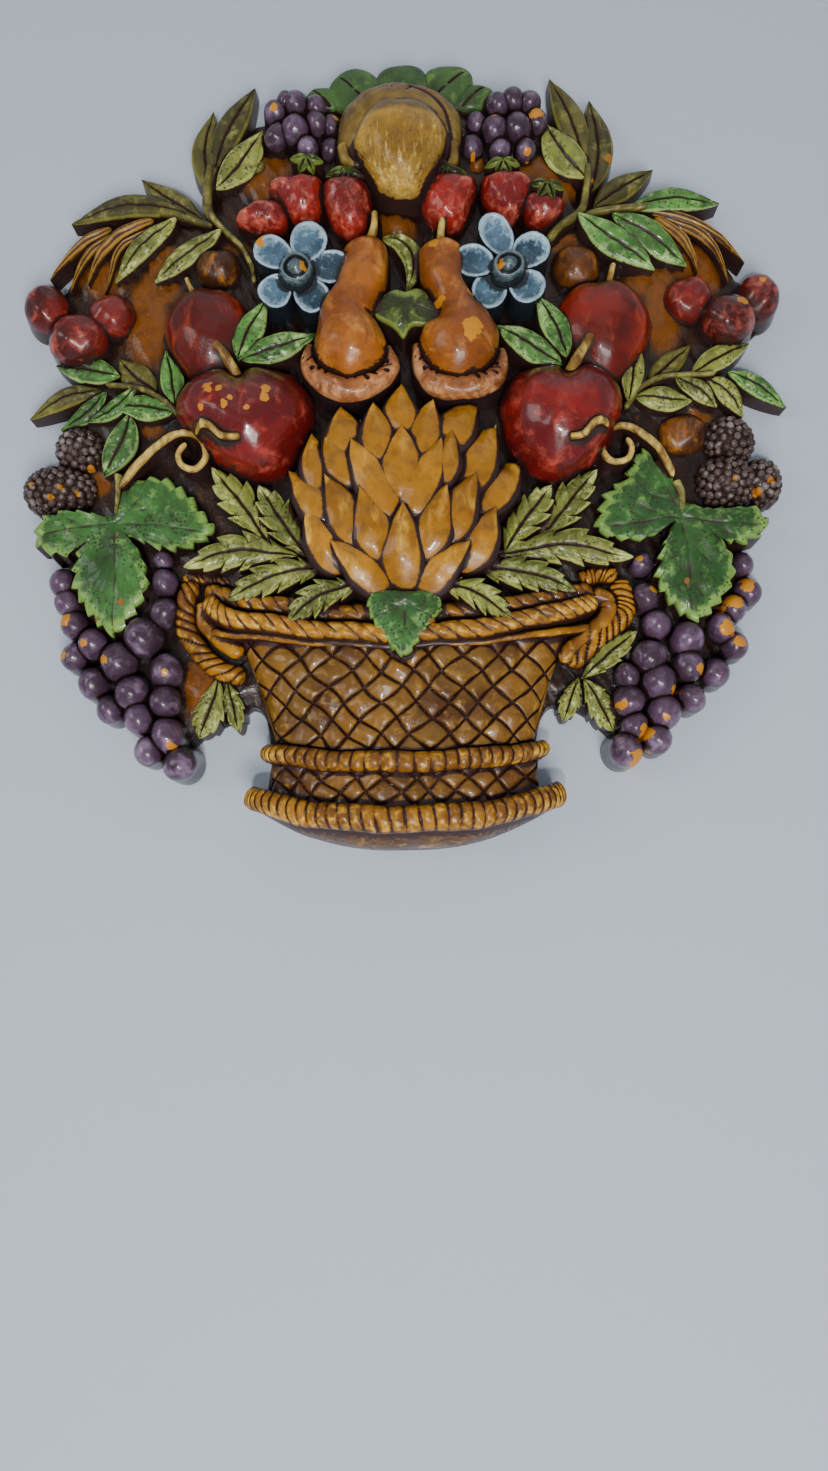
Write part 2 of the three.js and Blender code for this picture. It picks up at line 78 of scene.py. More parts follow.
def to_frame(x, z, h):
    """Face millimetres to metres in the frame: right stays X, up is Z, out from the wall is -Y."""
    return np.stack([x * MM + 0 * h, BACK_Y - h * MM, FOOT_Z + z * MM + 0 * h], axis=-1)


# %% [markdown]
# ## The camera
#
# The plaque is seen from nearly straight in front, very close, with a wide lens, so that what
# stands proud of the wall looks a little larger and further from the middle. The camera comes
# first, because everything else is judged through it.

# %% Camera
EYE = (4.0, 8.0, 375.0)                   # x, z and h of the lens
LOOK_UP = np.radians(5.0)                 # the lens points a little up
ROLL = np.radians(0.8)
LENS_MM = 25.7
SENSOR_MM = 36.0

ahead = Vector((0.0, np.cos(LOOK_UP), np.sin(LOOK_UP)))
level_x = Vector((1.0, 0.0, 0.0))
level_y = Vector((0.0, -np.sin(LOOK_UP), np.cos(LOOK_UP)))
side = level_x * np.cos(ROLL) - level_y * np.sin(ROLL)
up = level_x * np.sin(ROLL) + level_y * np.cos(ROLL)
camera = bpy.data.objects.new("camera", bpy.data.cameras.new("camera"))
camera.data.lens = LENS_MM
camera.data.sensor_width = SENSOR_MM
camera.data.clip_start = 0.01
camera.matrix_world = Matrix.Translation(Vector(to_frame(*map(np.float64, EYE)))) @ Matrix(
    (side, up, -ahead)).transposed().to_4x4()
bpy.context.scene.collection.objects.link(camera)
bpy.context.scene.camera = camera
print("camera at", [round(v, 3) for v in camera.location])

# %% [markdown]
# ## Three ways to raise a form
#
# A pattern maker raises each fruit or leaf from the ground with a spatula: it has an outline,
# sides that lean outwards so the mould lets go, and a rounded top. Three surfaces cover them
# all. A **mound** runs in rings from its middle out to its outline, a **blade** is a D-shaped
# section carried along a path, and a **band** is a strip of the basket's curved front. Each
# gives a grid of points and, for the painter, two masks: *ink* in cut lines and *tint* where a
# second colour goes.

# %% Smooth lines and small helpers
FLOOR = 1.0                               # forms reach down to here, inside the backing
SPREAD = 1.2                              # how far the sides lean out on the way down
THIN = 0.05                               # half width of a sharp tip
SIDE_INK = 0.85                           # glaze on the sides of every form


def smooth_path(points, s, closed=False):
    """Catmull-Rom curve: each stretch is a cubic, and its slope at a point is half the step
    between that point's neighbours. s runs from 0 to 1 over the whole list."""
    p = np.asarray(points, float)
    count = len(p)
    if closed:
        t = (np.asarray(s) % 1.0) * count
        k = np.floor(t).astype(int)
        a, b, c, d = (p[(k + j) % count] for j in (-1, 0, 1, 2))
    else:
        t = np.clip(s, 0, 1) * (count - 1)
        k = np.minimum(np.floor(t).astype(int), count - 2)
        padded = np.vstack([2 * p[0] - p[1], p, 2 * p[-1] - p[-2]])
        a, b, c, d = (padded[k + j] for j in range(4))
    f = (t - k)[:, None]
    return 0.5 * (2 * b + (c - a) * f + (2 * a - 5 * b + 4 * c - d) * f**2
                  + (3 * b - a - 3 * c + d) * f**3)


def even_outline(points, count):
    """A closed smooth curve through the points, sampled at even steps of its length, and
    turning anticlockwise."""
    fine = smooth_path(points, np.linspace(0, 1, 8 * count, endpoint=False), closed=True)
    x, z = fine[:, 0], fine[:, 1]
    if np.sum(x * np.roll(z, -1) - z * np.roll(x, -1)) < 0:
        fine = fine[::-1]
    step = np.linalg.norm(np.roll(fine, -1, axis=0) - fine, axis=1)
    length = np.concatenate([[0], np.cumsum(step)])
    wrapped = np.vstack([fine, fine[:1]])
    want = np.linspace(0, length[-1], count, endpoint=False)
    return np.stack([np.interp(want, length, wrapped[:, k]) for k in (0, 1)], axis=1), length[-1]


def gap(phase):
    """How far a phase is from the nearest whole number, 0 to 0.5."""
    return np.abs(phase - np.round(phase))


def line(distance, width):
    """1 on a line and fading to 0 over its width: a bell curve of the distance."""
    return np.exp(-(distance / width) ** 2)


def between(a, b, share):
    """From a to b in a straight line: a + (b - a) * share."""
    return a + (b - a) * share


def flat(height):
    """A height or width that stays the same along a path or strip."""
    return lambda s: height + 0 * s


# %% The mound
def mound(middle, outline, edge, top, power=2.0, steps=12, floor=FLOOR, spread=SPREAD, relief=None):
    """Rings from the middle to the outline. At share s of the way out the height is
    edge + (top - edge) * (1 - s^power)^(1/power), and then the side drops to the floor while
    it leans out by spread. relief(s, x, z) returns (lift, ink, tint)."""
    reach = outline - np.asarray(middle, float)
    share = np.sin(np.linspace(0, 1, steps + 1)[1:] * TAU / 4)[:, None]
    x = middle[0] + share * reach[:, 0]
    z = middle[1] + share * reach[:, 1]
    h = edge + (top - edge) * (1 - share**power) ** (1 / power) + 0 * x
    lift, ink, tint = relief(share, x, z) if relief else (0 * h, 0 * h, 0 * h)
    rings = [np.stack([x, z, h + lift], axis=-1)]
    out = reach / np.linalg.norm(reach, axis=1, keepdims=True)
    rim = rings[0][-1]
    drop = np.minimum(1.0, 0.2 * (rim[:, 2] - floor))
    lower = between(rim[:, 2], floor, 0.4)
    for lean, height in ((0.1, rim[:, 2] - drop), (0.4, lower), (1.0, floor + 0 * drop)):
        rings.append(np.column_stack([outline + out * spread * lean, height])[None])
    sides = [(0, 3), (0, 0)]
    return {"grid": np.concatenate(rings),
            "ink": np.pad(ink + 0 * h, sides, constant_values=SIDE_INK),
            "tint": np.pad(tint + 0 * h, sides, mode="edge")}


def oval(x, z, across, up, egg=0.0, tilt=0.0, square=1.0, around=40):
    """Outline of a fruit: an ellipse, wider above the middle by egg, boxier as square drops
    below 1, turned anticlockwise by tilt degrees."""
    turn = np.linspace(0, TAU, around, endpoint=False)
    cos, sin = np.cos(turn), np.sin(turn)
    u = across * np.sign(cos) * np.abs(cos) ** square * (1 + egg * sin)
    v = up * np.sign(sin) * np.abs(sin) ** square
    lean = np.radians(tilt)
    return np.stack([x + u * np.cos(lean) - v * np.sin(lean),
                     z + u * np.sin(lean) + v * np.cos(lean)], axis=1)


def dome(x, z, across, up, edge, top, egg=0.0, tilt=0.0, square=1.0, around=40, **more):
    """A mound on an oval."""
    return mound((x, z), oval(x, z, across, up, egg, tilt, square, around), edge, top, **more)


def drawn(middle, points, edge, top, around=90, **more):
    """A mound on an outline drawn point by point."""
    return mound(middle, even_outline(points, around)[0], edge, top, **more)

# %% The blade
def blade(path, half, level, crown, stations=36, columns=13, power=2.0, lean=0.0, floor=FLOOR,
          spread=SPREAD, relief=None):
    """A D-shaped section along a smooth path. Across the section t runs from -1 to 1 and the
    height is level(s) + crown * (1 - |t|^power)^(1/power), lower where the blade is narrow.
    lean pushes the edges forward along the path. relief(s, t) returns (lift, ink, tint)."""
    s = np.linspace(0, 1, stations)
    middle = smooth_path(path, s)
    along = np.gradient(middle, axis=0)
    along /= np.linalg.norm(along, axis=1, keepdims=True)
    across = np.stack([-along[:, 1], along[:, 0]], axis=1)
    t = np.sin(np.linspace(-1, 1, columns) * TAU / 4)
    width = np.maximum(half(s), THIN)[:, None]
    forward = lean * width * np.abs(t) ** 1.5
    xz = (middle[:, None] + across[:, None] * (width * t)[..., None]
          + along[:, None] * forward[..., None])
    round_top = (1 - np.abs(t) ** power) ** (1 / power)
    h = level(s)[:, None] + crown * (width / width.max()) ** 0.6 * round_top
    lift, ink, tint = relief(s[:, None], t[None]) if relief else (0 * h, 0 * h, 0 * h)
    h = h + lift
    left, right = [], []
    for side_rows, column, sign in ((left, 0, -1), (right, -1, 1)):
        drop = np.minimum(1.0, 0.2 * (h[:, column] - floor))
        for push, height in ((0.1, h[:, column] - drop), (1.0, floor + 0 * drop)):
            foot = xz[:, column] + sign * spread * push * across
            side_rows.append(np.column_stack([foot, height])[:, None])
    rows = left[::-1] + [np.concatenate([xz, h[..., None]], axis=-1)] + right
    sides = [(0, 0), (2, 2)]
    return {"grid": np.concatenate(rows, axis=1),
            "ink": np.pad(ink + 0 * h, sides, constant_values=SIDE_INK),
            "tint": np.pad(tint + 0 * h, sides, mode="edge")}

# %% [markdown]
# ## The basket
#
# The basket is the only woven thing here: diagonal splints that cross in diamonds, ribbed
# rolls round the waist and the foot, and a twisted rope along the rim. Real splints could be
# woven one by one, but on a casting they are only pressed in, so the weave is a relief: each
# diamond is a small pillow, and two families of slanting grooves part them.

# %% Basket front as bands
SIDE_SHARE = 0.42                         # the sides keep this share of the depth
BASKET_X = 0.8                            # the basket stands a little right of the centre line


def band(low, high, half, depth, section, columns=160, rows=24, relief=None):
    """A strip of the basket's front. u runs across from -1 to 1 and v up from 0 to 1.
    low and high are (z at the middle, rise of the ends): an edge lies at z + rise * |u|^2.5.
    half(v) is the half width, and the height is depth(v) * front + section(v), where front
    is share + (1 - share) * sqrt(1 - u^2) and the section is a little flatter at the ends."""
    u = np.sin(np.linspace(-1, 1, columns) * TAU / 4 * 0.97)[:, None]
    v = np.linspace(0, 1, rows)[None]
    x = BASKET_X + u * half(v)
    z = between(low[0], high[0], v) + between(low[1], high[1], v) * np.abs(u) ** 2.5
    front = SIDE_SHARE + (1 - SIDE_SHARE) * np.sqrt(1 - 0.98 * u**2)
    h = depth(v) * front + section(v) * (0.55 + 0.45 * front)
    lift, ink, tint = relief(u, v, x, z) if relief else (0 * h, 0 * h, 0 * h)
    top = np.stack([x, z + 0 * h, h + lift], axis=-1)
    feet = [np.stack([x[:, k], (z + 0 * h)[:, k], 0 * h[:, k] + FLOOR], axis=-1)[:, None]
            for k in (0, -1)]
    stretch = [(0, 0), (1, 1)]
    return {"grid": np.concatenate([feet[0], top, feet[1]], axis=1),
            "ink": np.pad(ink + 0 * h, stretch, constant_values=SIDE_INK),
            "tint": np.pad(tint + 0 * h, stretch, mode="edge")}


def weave(pitch, depth, groove):
    """Relief of crossed splints: p and q count the two families of slanting grooves, each
    diamond swells as |sin(pi p) * sin(pi q)|^0.5, tips over a little its own way, and a
    groove is a bell curve that is deeper in some places than in others."""
    def relief(u, v, x, z):
        sway = 1.0 * np.sin(0.13 * x + 0.21 * z) + 0.8 * np.sin(0.29 * x - 0.17 * z + 1.3)
        p = (x + 1.04 * z + sway) / pitch
        q = (x - 1.04 * z + 0.8 * sway + 3.0) / pitch
        width = groove * (1 + 0.25 * np.sin(0.7 * x + 0.4 * z))
        press = 0.72 + 0.28 * np.sin(0.47 * x - 0.31 * z) * np.sin(0.23 * x + 0.51 * z + 2)
        cut = np.maximum(line(gap(p) * pitch, width), line(gap(q) * pitch, width))
        pillow = np.sqrt(np.abs(np.sin(np.pi * p) * np.sin(np.pi * q)))
        own = np.sin(12.9 * np.floor(p) + 7.3 * np.floor(q))
        other = np.cos(5.1 * np.floor(p) - 9.7 * np.floor(q))
        tip = 1.3 * own * ((p % 1) - 0.5) + 1.3 * other * ((q % 1) - 0.5)
        return depth * pillow - 0.8 * depth * cut + tip * pillow, cut * press, 0.5 + 0.5 * own
    return relief


def ribs(count, slant, depth, width=0.11):
    """Relief of a rope: the strand count runs along it and leans across it, each strand is
    a swelling |sin(pi phase)|^0.7 between two cuts, and the glaze fills some cuts better."""
    def relief(s, t, *_):
        phase = count * s + slant * t + 0.25 * np.sin(19 * s)
        uneven = 0.45 + 0.4 * np.sin(2.1 * np.round(phase)) * np.sin(3.7 * np.round(phase) + 2.4 * t)
        cut = line(gap(phase), width)
        edge = 0.45 * line(np.abs(t) - 1, 0.2)
        swell = np.abs(np.sin(np.pi * phase)) ** 0.7
        ink = np.clip(cut * uneven + edge, 0, 1)
        return depth * (swell - 0.7 * cut), ink, 0.5 * (swell > 0.9)
    return relief


def rounded(rise):
    """Section of a roll: half a circle over the strip."""
    return lambda v: rise * np.sqrt(np.clip(1 - (2 * v - 1) ** 2, 0, 1))


def band_ribs(count, slant, depth, width=0.14):
    """The same ribs on a strip of the front: s is even in angle from end to end, t is 2v - 1."""
    rope = ribs(count, slant, depth, width)
    return lambda u, v, x, z: rope((np.arcsin(u) / (TAU / 4) + 1) / 2 + 0 * v, 2 * v - 1 + 0 * u)


def pinched(half, amount):
    """Half width of a rounded strip: it draws in at its upper and lower edge."""
    return lambda v: half - amount * np.abs(2 * v - 1) ** 2.5


def plain_foot(u, v, x, z):
    """The curved underside is smooth, with glaze gathered below the lowest roll."""
    return 0, 0.08 + 0.3 * line(v - 1, 0.15), 0


BASKET = {
    "basket_body": [
        band((34.0, 4.0), (72.0, 7.5), lambda v: between(44.5, 59.5, v**1.35), flat(24.5), flat(0),
             columns=280, rows=110, relief=weave(11.2, 1.3, 0.5)),
        band((15.5, 5), (28, 4.5), lambda v: 46.2 - 0.5 * v, flat(24.0), flat(0),
             columns=220, rows=36, relief=weave(9.6, 1.1, 0.5)),
        band((0, 12), (9, 9), lambda v: between(47, 54, v**0.6), lambda v: between(7, 27, v**0.45),
             flat(0), columns=120, rows=14, relief=plain_foot),
    ],
    "basket_beads": [
        band((26.2, 4.6), (33.6, 4.0), pinched(49.4, 2.2), flat(26.0), rounded(3.4),
             columns=420, rows=22, relief=band_ribs(31, 0.0, 0.5)),
        band((6.2, 8.2), (15.6, 7.4), pinched(55.2, 2.6), flat(26.5), rounded(4.4),
             columns=480, rows=26, relief=band_ribs(38, 0.1, 0.5)),
    ],
}
print("basket", {name: len(forms) for name, forms in BASKET.items()}, "bands")

# %% [markdown]
# The rim and the handles are ropes laid over the basket: blades with slanting ribs. The rim
# sinks back at both ends because the basket's mouth is round.

# %% Rim and handles
def round_ends(radius, share=0.08):
    """Half width of a rope: full along its length, closing in a quarter circle at each end."""
    def half(s):
        near = np.clip(np.minimum(s, 1 - s) / share, 0, 1)
        return radius * np.sqrt(1 - (1 - near) ** 2)
    return half


def mouth(deep, shallow):
    """Height along the rim: like the basket's own front, deepest in the middle."""
    return lambda s: shallow + (deep - shallow) * np.sqrt(1 - 0.96 * (2 * s - 1) ** 2)


BASKET["basket_rim"] = [
    blade([(-67.5, 86.5), (-58, 79.8), (-38, 76), (-12, 73.2), (12, 73), (38, 76.5), (56, 80.5),
           (67, 85)],
          round_ends(3.1, 0.03), mouth(27.5, 17), 3.0, stations=360, columns=17,
          relief=ribs(29, 0.6, 0.5)),
    blade([(-66, 76.5), (-40, 72.2), (0, 69.3), (40, 72), (66, 76.5)],
          round_ends(1.2, 0.02), mouth(25, 13), 0.8, stations=120, columns=9),
    blade([(-68, 90), (-40, 83.5), (0, 80), (40, 83.5), (67, 89)],
          round_ends(3.4, 0.03), mouth(22, 13), 3.0, stations=260, columns=11,
          relief=ribs(26, 0.5, 0.5)),
    blade([(-72, 94.5), (-75.2, 87), (-74.3, 77), (-69, 69), (-62, 63), (-54, 60)],
          round_ends(3.7, 0.08), flat(12.5), 3.8, stations=170, columns=15,
          relief=ribs(12, -0.7, 0.9)),
    blade([(-68.5, 87), (-69, 80.5), (-63.5, 75), (-55, 68.5)],
          round_ends(3.0, 0.1), flat(13.5), 2.2, stations=60, columns=11),
    blade([(-76, 96.5), (-67, 95.5), (-59, 94)],
          round_ends(2.3, 0.15), flat(12), 2.2, stations=60, columns=11, relief=ribs(7, 0.6, 0.6)),
    blade([(75.5, 93), (78, 86.5), (76.5, 79.5), (69, 72.5), (58, 63.5)],
          round_ends(4.0, 0.09), flat(12), 4.0, stations=200, columns=15,
          relief=ribs(13, -0.9, 1.0)),
    blade([(62.5, 92.5), (69, 95.5), (76, 94.5)],
          round_ends(3.0, 0.12), flat(13.5), 3.4, stations=70, columns=13,
          relief=ribs(7, -0.7, 0.8)),
    blade([(66, 88.5), (71, 86), (71, 80), (64, 73), (54.5, 65)],
          round_ends(3.3, 0.1), flat(14.5), 2.6, stations=90, columns=11,
          relief=ribs(4, -0.5, 0.4)),
]
print("rim and handles:", len(BASKET["basket_rim"]), "ropes")

# %% [markdown]
# ## The artichoke
#
# The big flower head over the rim is an artichoke: pointed scales that overlap like roof
# slates on a dome. Each scale is a blade with a kite-shaped outline and a faint keel. It
# follows the dome, its root sinks under the next row and its tip stands a little proud, and
# that alone gives the dark steps between rows. Glaze gathers along its edge.

# %% Artichoke scales
DOME_TOP = 34.6                           # the dome that the scales lie on
DOME_RIM = 17.0
HEART = (1.0, 106.0)                      # x and z of the dome's top
DOME_SIDE, DOME_BELOW, DOME_ABOVE = 45.0, 27.0, 58.0
SCALE_CROWN = 3.5                         # how much a scale swells across
SCALE_TILT = 2.0                          # its root sinks and its tip stands this far
SCALE_SINK = 1.2
# root x, root z, tip x, tip z, width
SCALES = [
    (1, 139, 1, 160, 10), (-17.5, 130, -19.5, 153.5, 11), (-6, 129, -8, 152.5, 10.5),
    (6, 129, 12, 154.5, 10.5), (14.5, 134, 27, 156.5, 11.5), (-26, 119, -29.5, 143.5, 9.5),
    (-15.5, 121.5, -24.5, 143, 9.5), (0.5, 116.5, 1, 143.5, 12.5), (12, 120, 18.5, 142, 9.5),
    (22, 118.5, 34, 148.5, 10.5), (-21, 109.5, -38, 131, 10.5), (-1.5, 110.5, -16, 139, 11.5),
    (2.5, 110.5, 14.5, 138.5, 11.5), (27, 112, 42.5, 135.5, 10.5), (-11.5, 100, -25, 127, 11),
    (-5, 95.5, -13, 122, 11), (6.5, 95.5, 16.5, 122, 11), (14.5, 101, 26, 127.5, 11),
    (-19.5, 93.5, -31, 115, 11.5), (20.5, 93, 33, 115, 11.5), (-1.5, 85.5, -23, 104, 11.5),
    (3.5, 85.5, 23.5, 103, 11.5), (0.7, 83.5, 1, 115.5, 11.8),
]


def on_dome(x, z):
    """Height of the artichoke: an oval dome, short below its heart and long above it."""
    reach = np.where(z < HEART[1], DOME_BELOW, DOME_ABOVE)
    far = ((x - HEART[0]) / DOME_SIDE) ** 2 + ((z - HEART[1]) / reach) ** 2
    return DOME_RIM + (DOME_TOP - DOME_RIM) * np.sqrt(np.clip(1 - far, 0, 1))


def scale(x0, z0, x1, z1, width):
    """One scale: round at the root, widest at two fifths of its length, and from there the
    sides run almost straight to the tip. A keel runs up it, and the side away from the
    middle stands higher than the other, the way tiles overlap."""
    middle = [between(x0, x1, 0.5), between(z0, z1, 0.5)]
    path = [(x0, z0), middle, (x1, z1)]

    def level(s):
        x, z = smooth_path(path, s).T
        return on_dome(x, z) - SCALE_SINK + SCALE_TILT * (2 * s - 1)

    def relief(s, t):
        keel = 0.7 * line(t - 0.1 * np.sin(5 * s + x0), 0.16) * s * (1.25 - s)
        dent = -0.35 * np.sin(3 * np.pi * s + z0) * np.abs(t)
        tiled = 0.7 * t * np.sign(x1 - x0 + 0.01)
        ink = 1.4 * line(np.abs(t) - 1, 0.22)
        tint = np.clip(1.1 - 1.5 * s + 0.6 * np.clip((z0 - 98) / 30, 0, 1), 0, 1)
        return keel + dent - tiled, ink, tint

    def half(s):
        rise, fall = np.clip(s / 0.4, 0, 1), np.clip((s - 0.4) / 0.6, 0, 1)
        return 0.7 * width * np.sqrt(1 - (1 - rise) ** 2) * (1 - fall**1.6)
    return blade(path, half, level, SCALE_CROWN, stations=44, columns=19, power=1.6, spread=0.4,
                 relief=relief)


def all_dark(share, x, z):
    """No lift, full of glaze: for the core that shows in the gaps between the scales."""
    return 0, 1, 0


CORE = dome(1, 117, 31, 30, 14, 24, around=64, steps=12, relief=all_dark)
ARTICHOKE = [CORE] + [scale(*row) for row in SCALES]
print("artichoke:", len(SCALES), "scales")

# %% [markdown]
# ## Round fruit
#
# Apples, cherries, nuts, strawberries and grapes are all mounds with a nearly half-round
# section. What tells them apart is small: an apple is wider above its middle and dips round
# its stalk, a strawberry is boxy and narrows downwards, a grape is nearly a ball.

# %% Apples, cherries, nuts and strawberries
def apple_relief(x0, z0, size, green):
    """A dip round the stalk end, very shallow ribs and dents, and a tint where the skin is
    still green."""
    def relief(share, x, z):
        far = np.hypot(x - x0, (z - z0) * 1.3)
        dip = -1.8 * np.exp(-(far / (0.22 * size)) ** 2)
        angle = np.arctan2(z - z0 - 8, x - x0)
        dents = 0.35 * np.sin(0.31 * x + 0.2 * z) * np.sin(0.27 * z - 0.12 * x + 1) * (1 - share**4)
        lift = dip + 0.3 * np.sin(5 * angle) * share + dents
        return lift, 0.6 * line(far, 1.8), green * line(far, 0.5 * size)
    return relief


def pitted(rows, amount):
    """Soft dents, and small pits in slanting rows such as a strawberry's seeds leave. The
    upper half of the fruit is tinted."""
    def relief(share, x, z):
        p, q = (x + 0.6 * z) / rows, (x - 0.6 * z) / rows
        pit = line(np.hypot(gap(p), gap(q)), 0.2)
        dents = 0.4 * np.sin(0.8 * x) * np.sin(0.7 * z + 1) * (1 - share**4)
        return dents - amount * pit * (share < 0.93), 0.3 * pit, np.clip((z - z.mean()) / 6, 0, 1)
    return relief


LEFT_APPLE = [(-56, 167.4), (-60.5, 169), (-67, 169), (-75, 164.7), (-78, 157), (-76.5, 150.5),
              (-72, 144.5), (-67, 138.5), (-61.5, 133.5), (-55, 130), (-47, 128.2), (-40, 130.7),
              (-35.5, 136.4), (-32, 144), (-29.5, 152.5), (-30.6, 160.4), (-36.5, 167), (-46, 170.2),
              (-51.5, 169.3)]
RIGHT_APPLE = [(59.5, 167.2), (55, 169.2), (47.4, 169), (39.5, 164.4), (35.6, 156.5), (36.2, 147.7),
               (39, 139), (44.4, 131.5), (52.5, 127.4), (61.5, 128.6), (68, 133.5), (74, 141),
               (78.4, 150), (78.8, 159), (74.5, 165.8), (68, 169), (63.5, 168.6)]
# middle, outline, edge, top
STRAWBERRIES = [
    ((-47.5, 228), [(-56.5, 226), (-53, 230.5), (-47, 233), (-42.5, 233.5), (-38.8, 230),
                    (-40, 223), (-47, 222), (-53, 223)], 12, 21.5),
    ((-35.5, 235), [(-45, 239), (-40, 242), (-34.5, 243), (-27.5, 242), (-26, 236.5), (-27.5, 228),
                    (-31, 224.5), (-35.5, 225), (-39.5, 229), (-43.5, 234.5)], 13, 24),
    ((-18.5, 231.5), [(-15.5, 241), (-23.5, 240), (-26, 235.5), (-24.5, 227.5), (-21, 221.5),
                      (-15, 218.5), (-11, 222), (-9, 230.5), (-9.6, 238)], 14, 26),
    ((20, 232.5), [(8.6, 237.5), (11.4, 241), (20, 242), (26.8, 241), (28.3, 237), (27, 230.5),
                   (24.5, 224), (20, 220.5), (13.8, 222.5), (9.4, 229)], 14, 26),
    ((39.5, 235), [(30.5, 237.5), (32.5, 241.3), (38.5, 242.3), (45.5, 241.5), (49, 238),
                   (48.2, 233), (45, 228.5), (41, 224), (36.5, 225.5), (32.5, 230)], 13, 24),
    ((52.5, 229.5), [(45.2, 232.5), (48.5, 236), (54, 236), (59, 233), (60, 229), (56, 224),
                     (50, 223), (46, 226.5)], 12, 21.5),
]


def plump(middle, outline):
    """The outline made a tenth larger about its middle, and flattened above it."""
    away = np.array(outline) - middle
    up = np.where(away[:, 1] > 0, 0.75, 1.1)
    return np.array(middle) + away * np.stack([1.1 + 0 * up, up], axis=1)


# x, z, half width, half height, edge, top
CHERRIES = [(-127, 197, 8.2, 8.8, 8, 16), (-102.5, 192.5, 8.5, 8, 10, 17.5),
            (-114.5, 184, 11, 9.8, 10, 20), (131, 197.5, 7.6, 9.3, 8, 16),
            (105, 196, 8.8, 8.6, 10, 17.5), (119, 188.5, 10.2, 9.4, 10, 20)]
NUTS = [(-64.5, 210, 8, 7, 10, 17.5), (65, 208.5, 8.8, 8.2, 10, 18),
        (101.5, 147, 9, 7.8, 8, 14.5), (30, 249.5, 3.6, 3.4, 8, 12)]

FRUIT = {
    "front_apples": [
        drawn((-54, 149), LEFT_APPLE, 14, 35, around=112, steps=34,
              relief=apple_relief(-56, 164, 22, 0.9)),
        drawn((56.5, 149), RIGHT_APPLE, 14, 35, around=112, steps=34,
              relief=apple_relief(59, 164, 22, 0.3))],
    "back_apples": [
        dome(-66.5, 182.5, 15.5, 18.5, 13, 27, egg=0.12, tilt=8, around=96, steps=26,
             relief=apple_relief(-66, 199, 16, 0.15)),
        dome(72.5, 182.5, 17.2, 19.5, 13, 27, egg=0.12, tilt=-8, around=96, steps=26,
             relief=apple_relief(72, 201, 17, 0.8))],
    "cherries": [dome(*row, around=56, steps=18, relief=pitted(9, 0)) for row in CHERRIES],
    "nuts": [dome(*row, square=0.85, around=56, steps=16, relief=pitted(5, 0.4)) for row in NUTS],
    "strawberries": [drawn(middle, plump(middle, outline), edge, top, power=2.5, steps=24,
                           relief=pitted(3.6, 0.3))
                     for middle, outline, edge, top in STRAWBERRIES],
}
print("round fruit:", {name: len(forms) for name, forms in FRUIT.items()})

# %% [markdown]
# ## Grapes and bramble fruits
#
# Four bunches of grapes fill the corners, and five bramble fruits sit between them. A bunch is
# fuller along its middle line than at its sides, so each grape's height comes from how far it
# hangs from that line. A bramble fruit is a mound under many beads, placed by the golden angle,
# which spreads any number of points evenly over a dome.

# %% Bunches of grapes
GRAPE_LOW, GRAPE_HIGH = 8.0, 14.0
# top of the middle line, its end, the spread, then [x, z, radius]
BUNCHES = [
    ((-96, 100), (-80, 34), 30, [
        (-83, 103, 3.5), (-82.5, 94.5, 5), (-82.5, 84, 5.5), (-89.5, 75.5, 7), (-82, 63, 6),
        (-98.5, 67, 6.5), (-93.5, 56, 6), (-119, 95.5, 5), (-117, 88.5, 5), (-115, 81, 5),
        (-108, 73.5, 5.4), (-115, 69.5, 5), (-107.5, 59.5, 5.5), (-82, 52.5, 5.5), (-101.5, 50.5, 5),
        (-91, 46.5, 5.5), (-81, 41, 6), (-88, 35.5, 5), (-77, 31, 6)]),
    ((96, 100), (80, 34), 30, [
        (84.5, 98.5, 4.2), (85.5, 86.5, 5), (89, 77.5, 5), (99.5, 72, 6), (86.5, 66, 6),
        (78.5, 59.5, 4.5), (89, 57, 6.5), (100, 62.5, 5.5), (112.5, 76.5, 5), (117.5, 83.5, 4.6),
        (123, 89.5, 5), (121, 99, 4.2), (117.5, 70.5, 5), (110, 60.5, 5), (101, 51.5, 5), (78.5, 51, 5.5),
        (90.5, 46.5, 6), (80.5, 42, 4.6), (77, 33.5, 6), (88.5, 37, 5)]),
    ((-34, 272), (-34, 256), 16, [
        (-43.5, 269.5, 4.6), (-39.5, 273, 3.4), (-35.5, 271, 4.6), (-28.5, 270, 4), (-43, 259.5, 4.8),
        (-36.5, 261, 5.2), (-28.5, 264, 4.2), (-23.3, 264, 4.2), (-31.5, 254.5, 3.8), (-23.5, 255, 4.2)]),
    ((40, 272), (40, 256), 18, [
        (43.5, 272, 4.4), (38, 270, 4.3), (49.5, 271.5, 4.4), (52, 264.5, 4.5), (36.3, 260.5, 5),
        (44.3, 261, 5.4), (28, 255, 4.5), (38.3, 252.3, 4), (47.3, 252.8, 3.8), (29.7, 264, 3.8),
        (24.7, 261, 2.8)]),
]


def bunch(top, end, spread, grapes):
    """A grape centre's height falls from high to low with the square of its distance from
    the bunch's middle line."""
    x, z, radius = np.array(grapes, float).T
    down = np.clip((top[1] - z) / (top[1] - end[1]), 0, 1)
    aside = np.minimum(1, np.abs(x - between(top[0], end[0], down)) / spread)
    centre = between(GRAPE_HIGH, GRAPE_LOW, aside**2)
    return [dome(a, b, r, r * 1.06, h - 0.2 * r, h + r, around=44, steps=16, spread=0.6)
            for a, b, r, h in zip(x, z, radius, centre)]


FRUIT["grapes"] = [form for row in BUNCHES for form in bunch(*row)]
print("grapes:", len(FRUIT["grapes"]))

# %% Bramble fruits
GOLDEN_ANGLE = np.pi * (3 - np.sqrt(5))
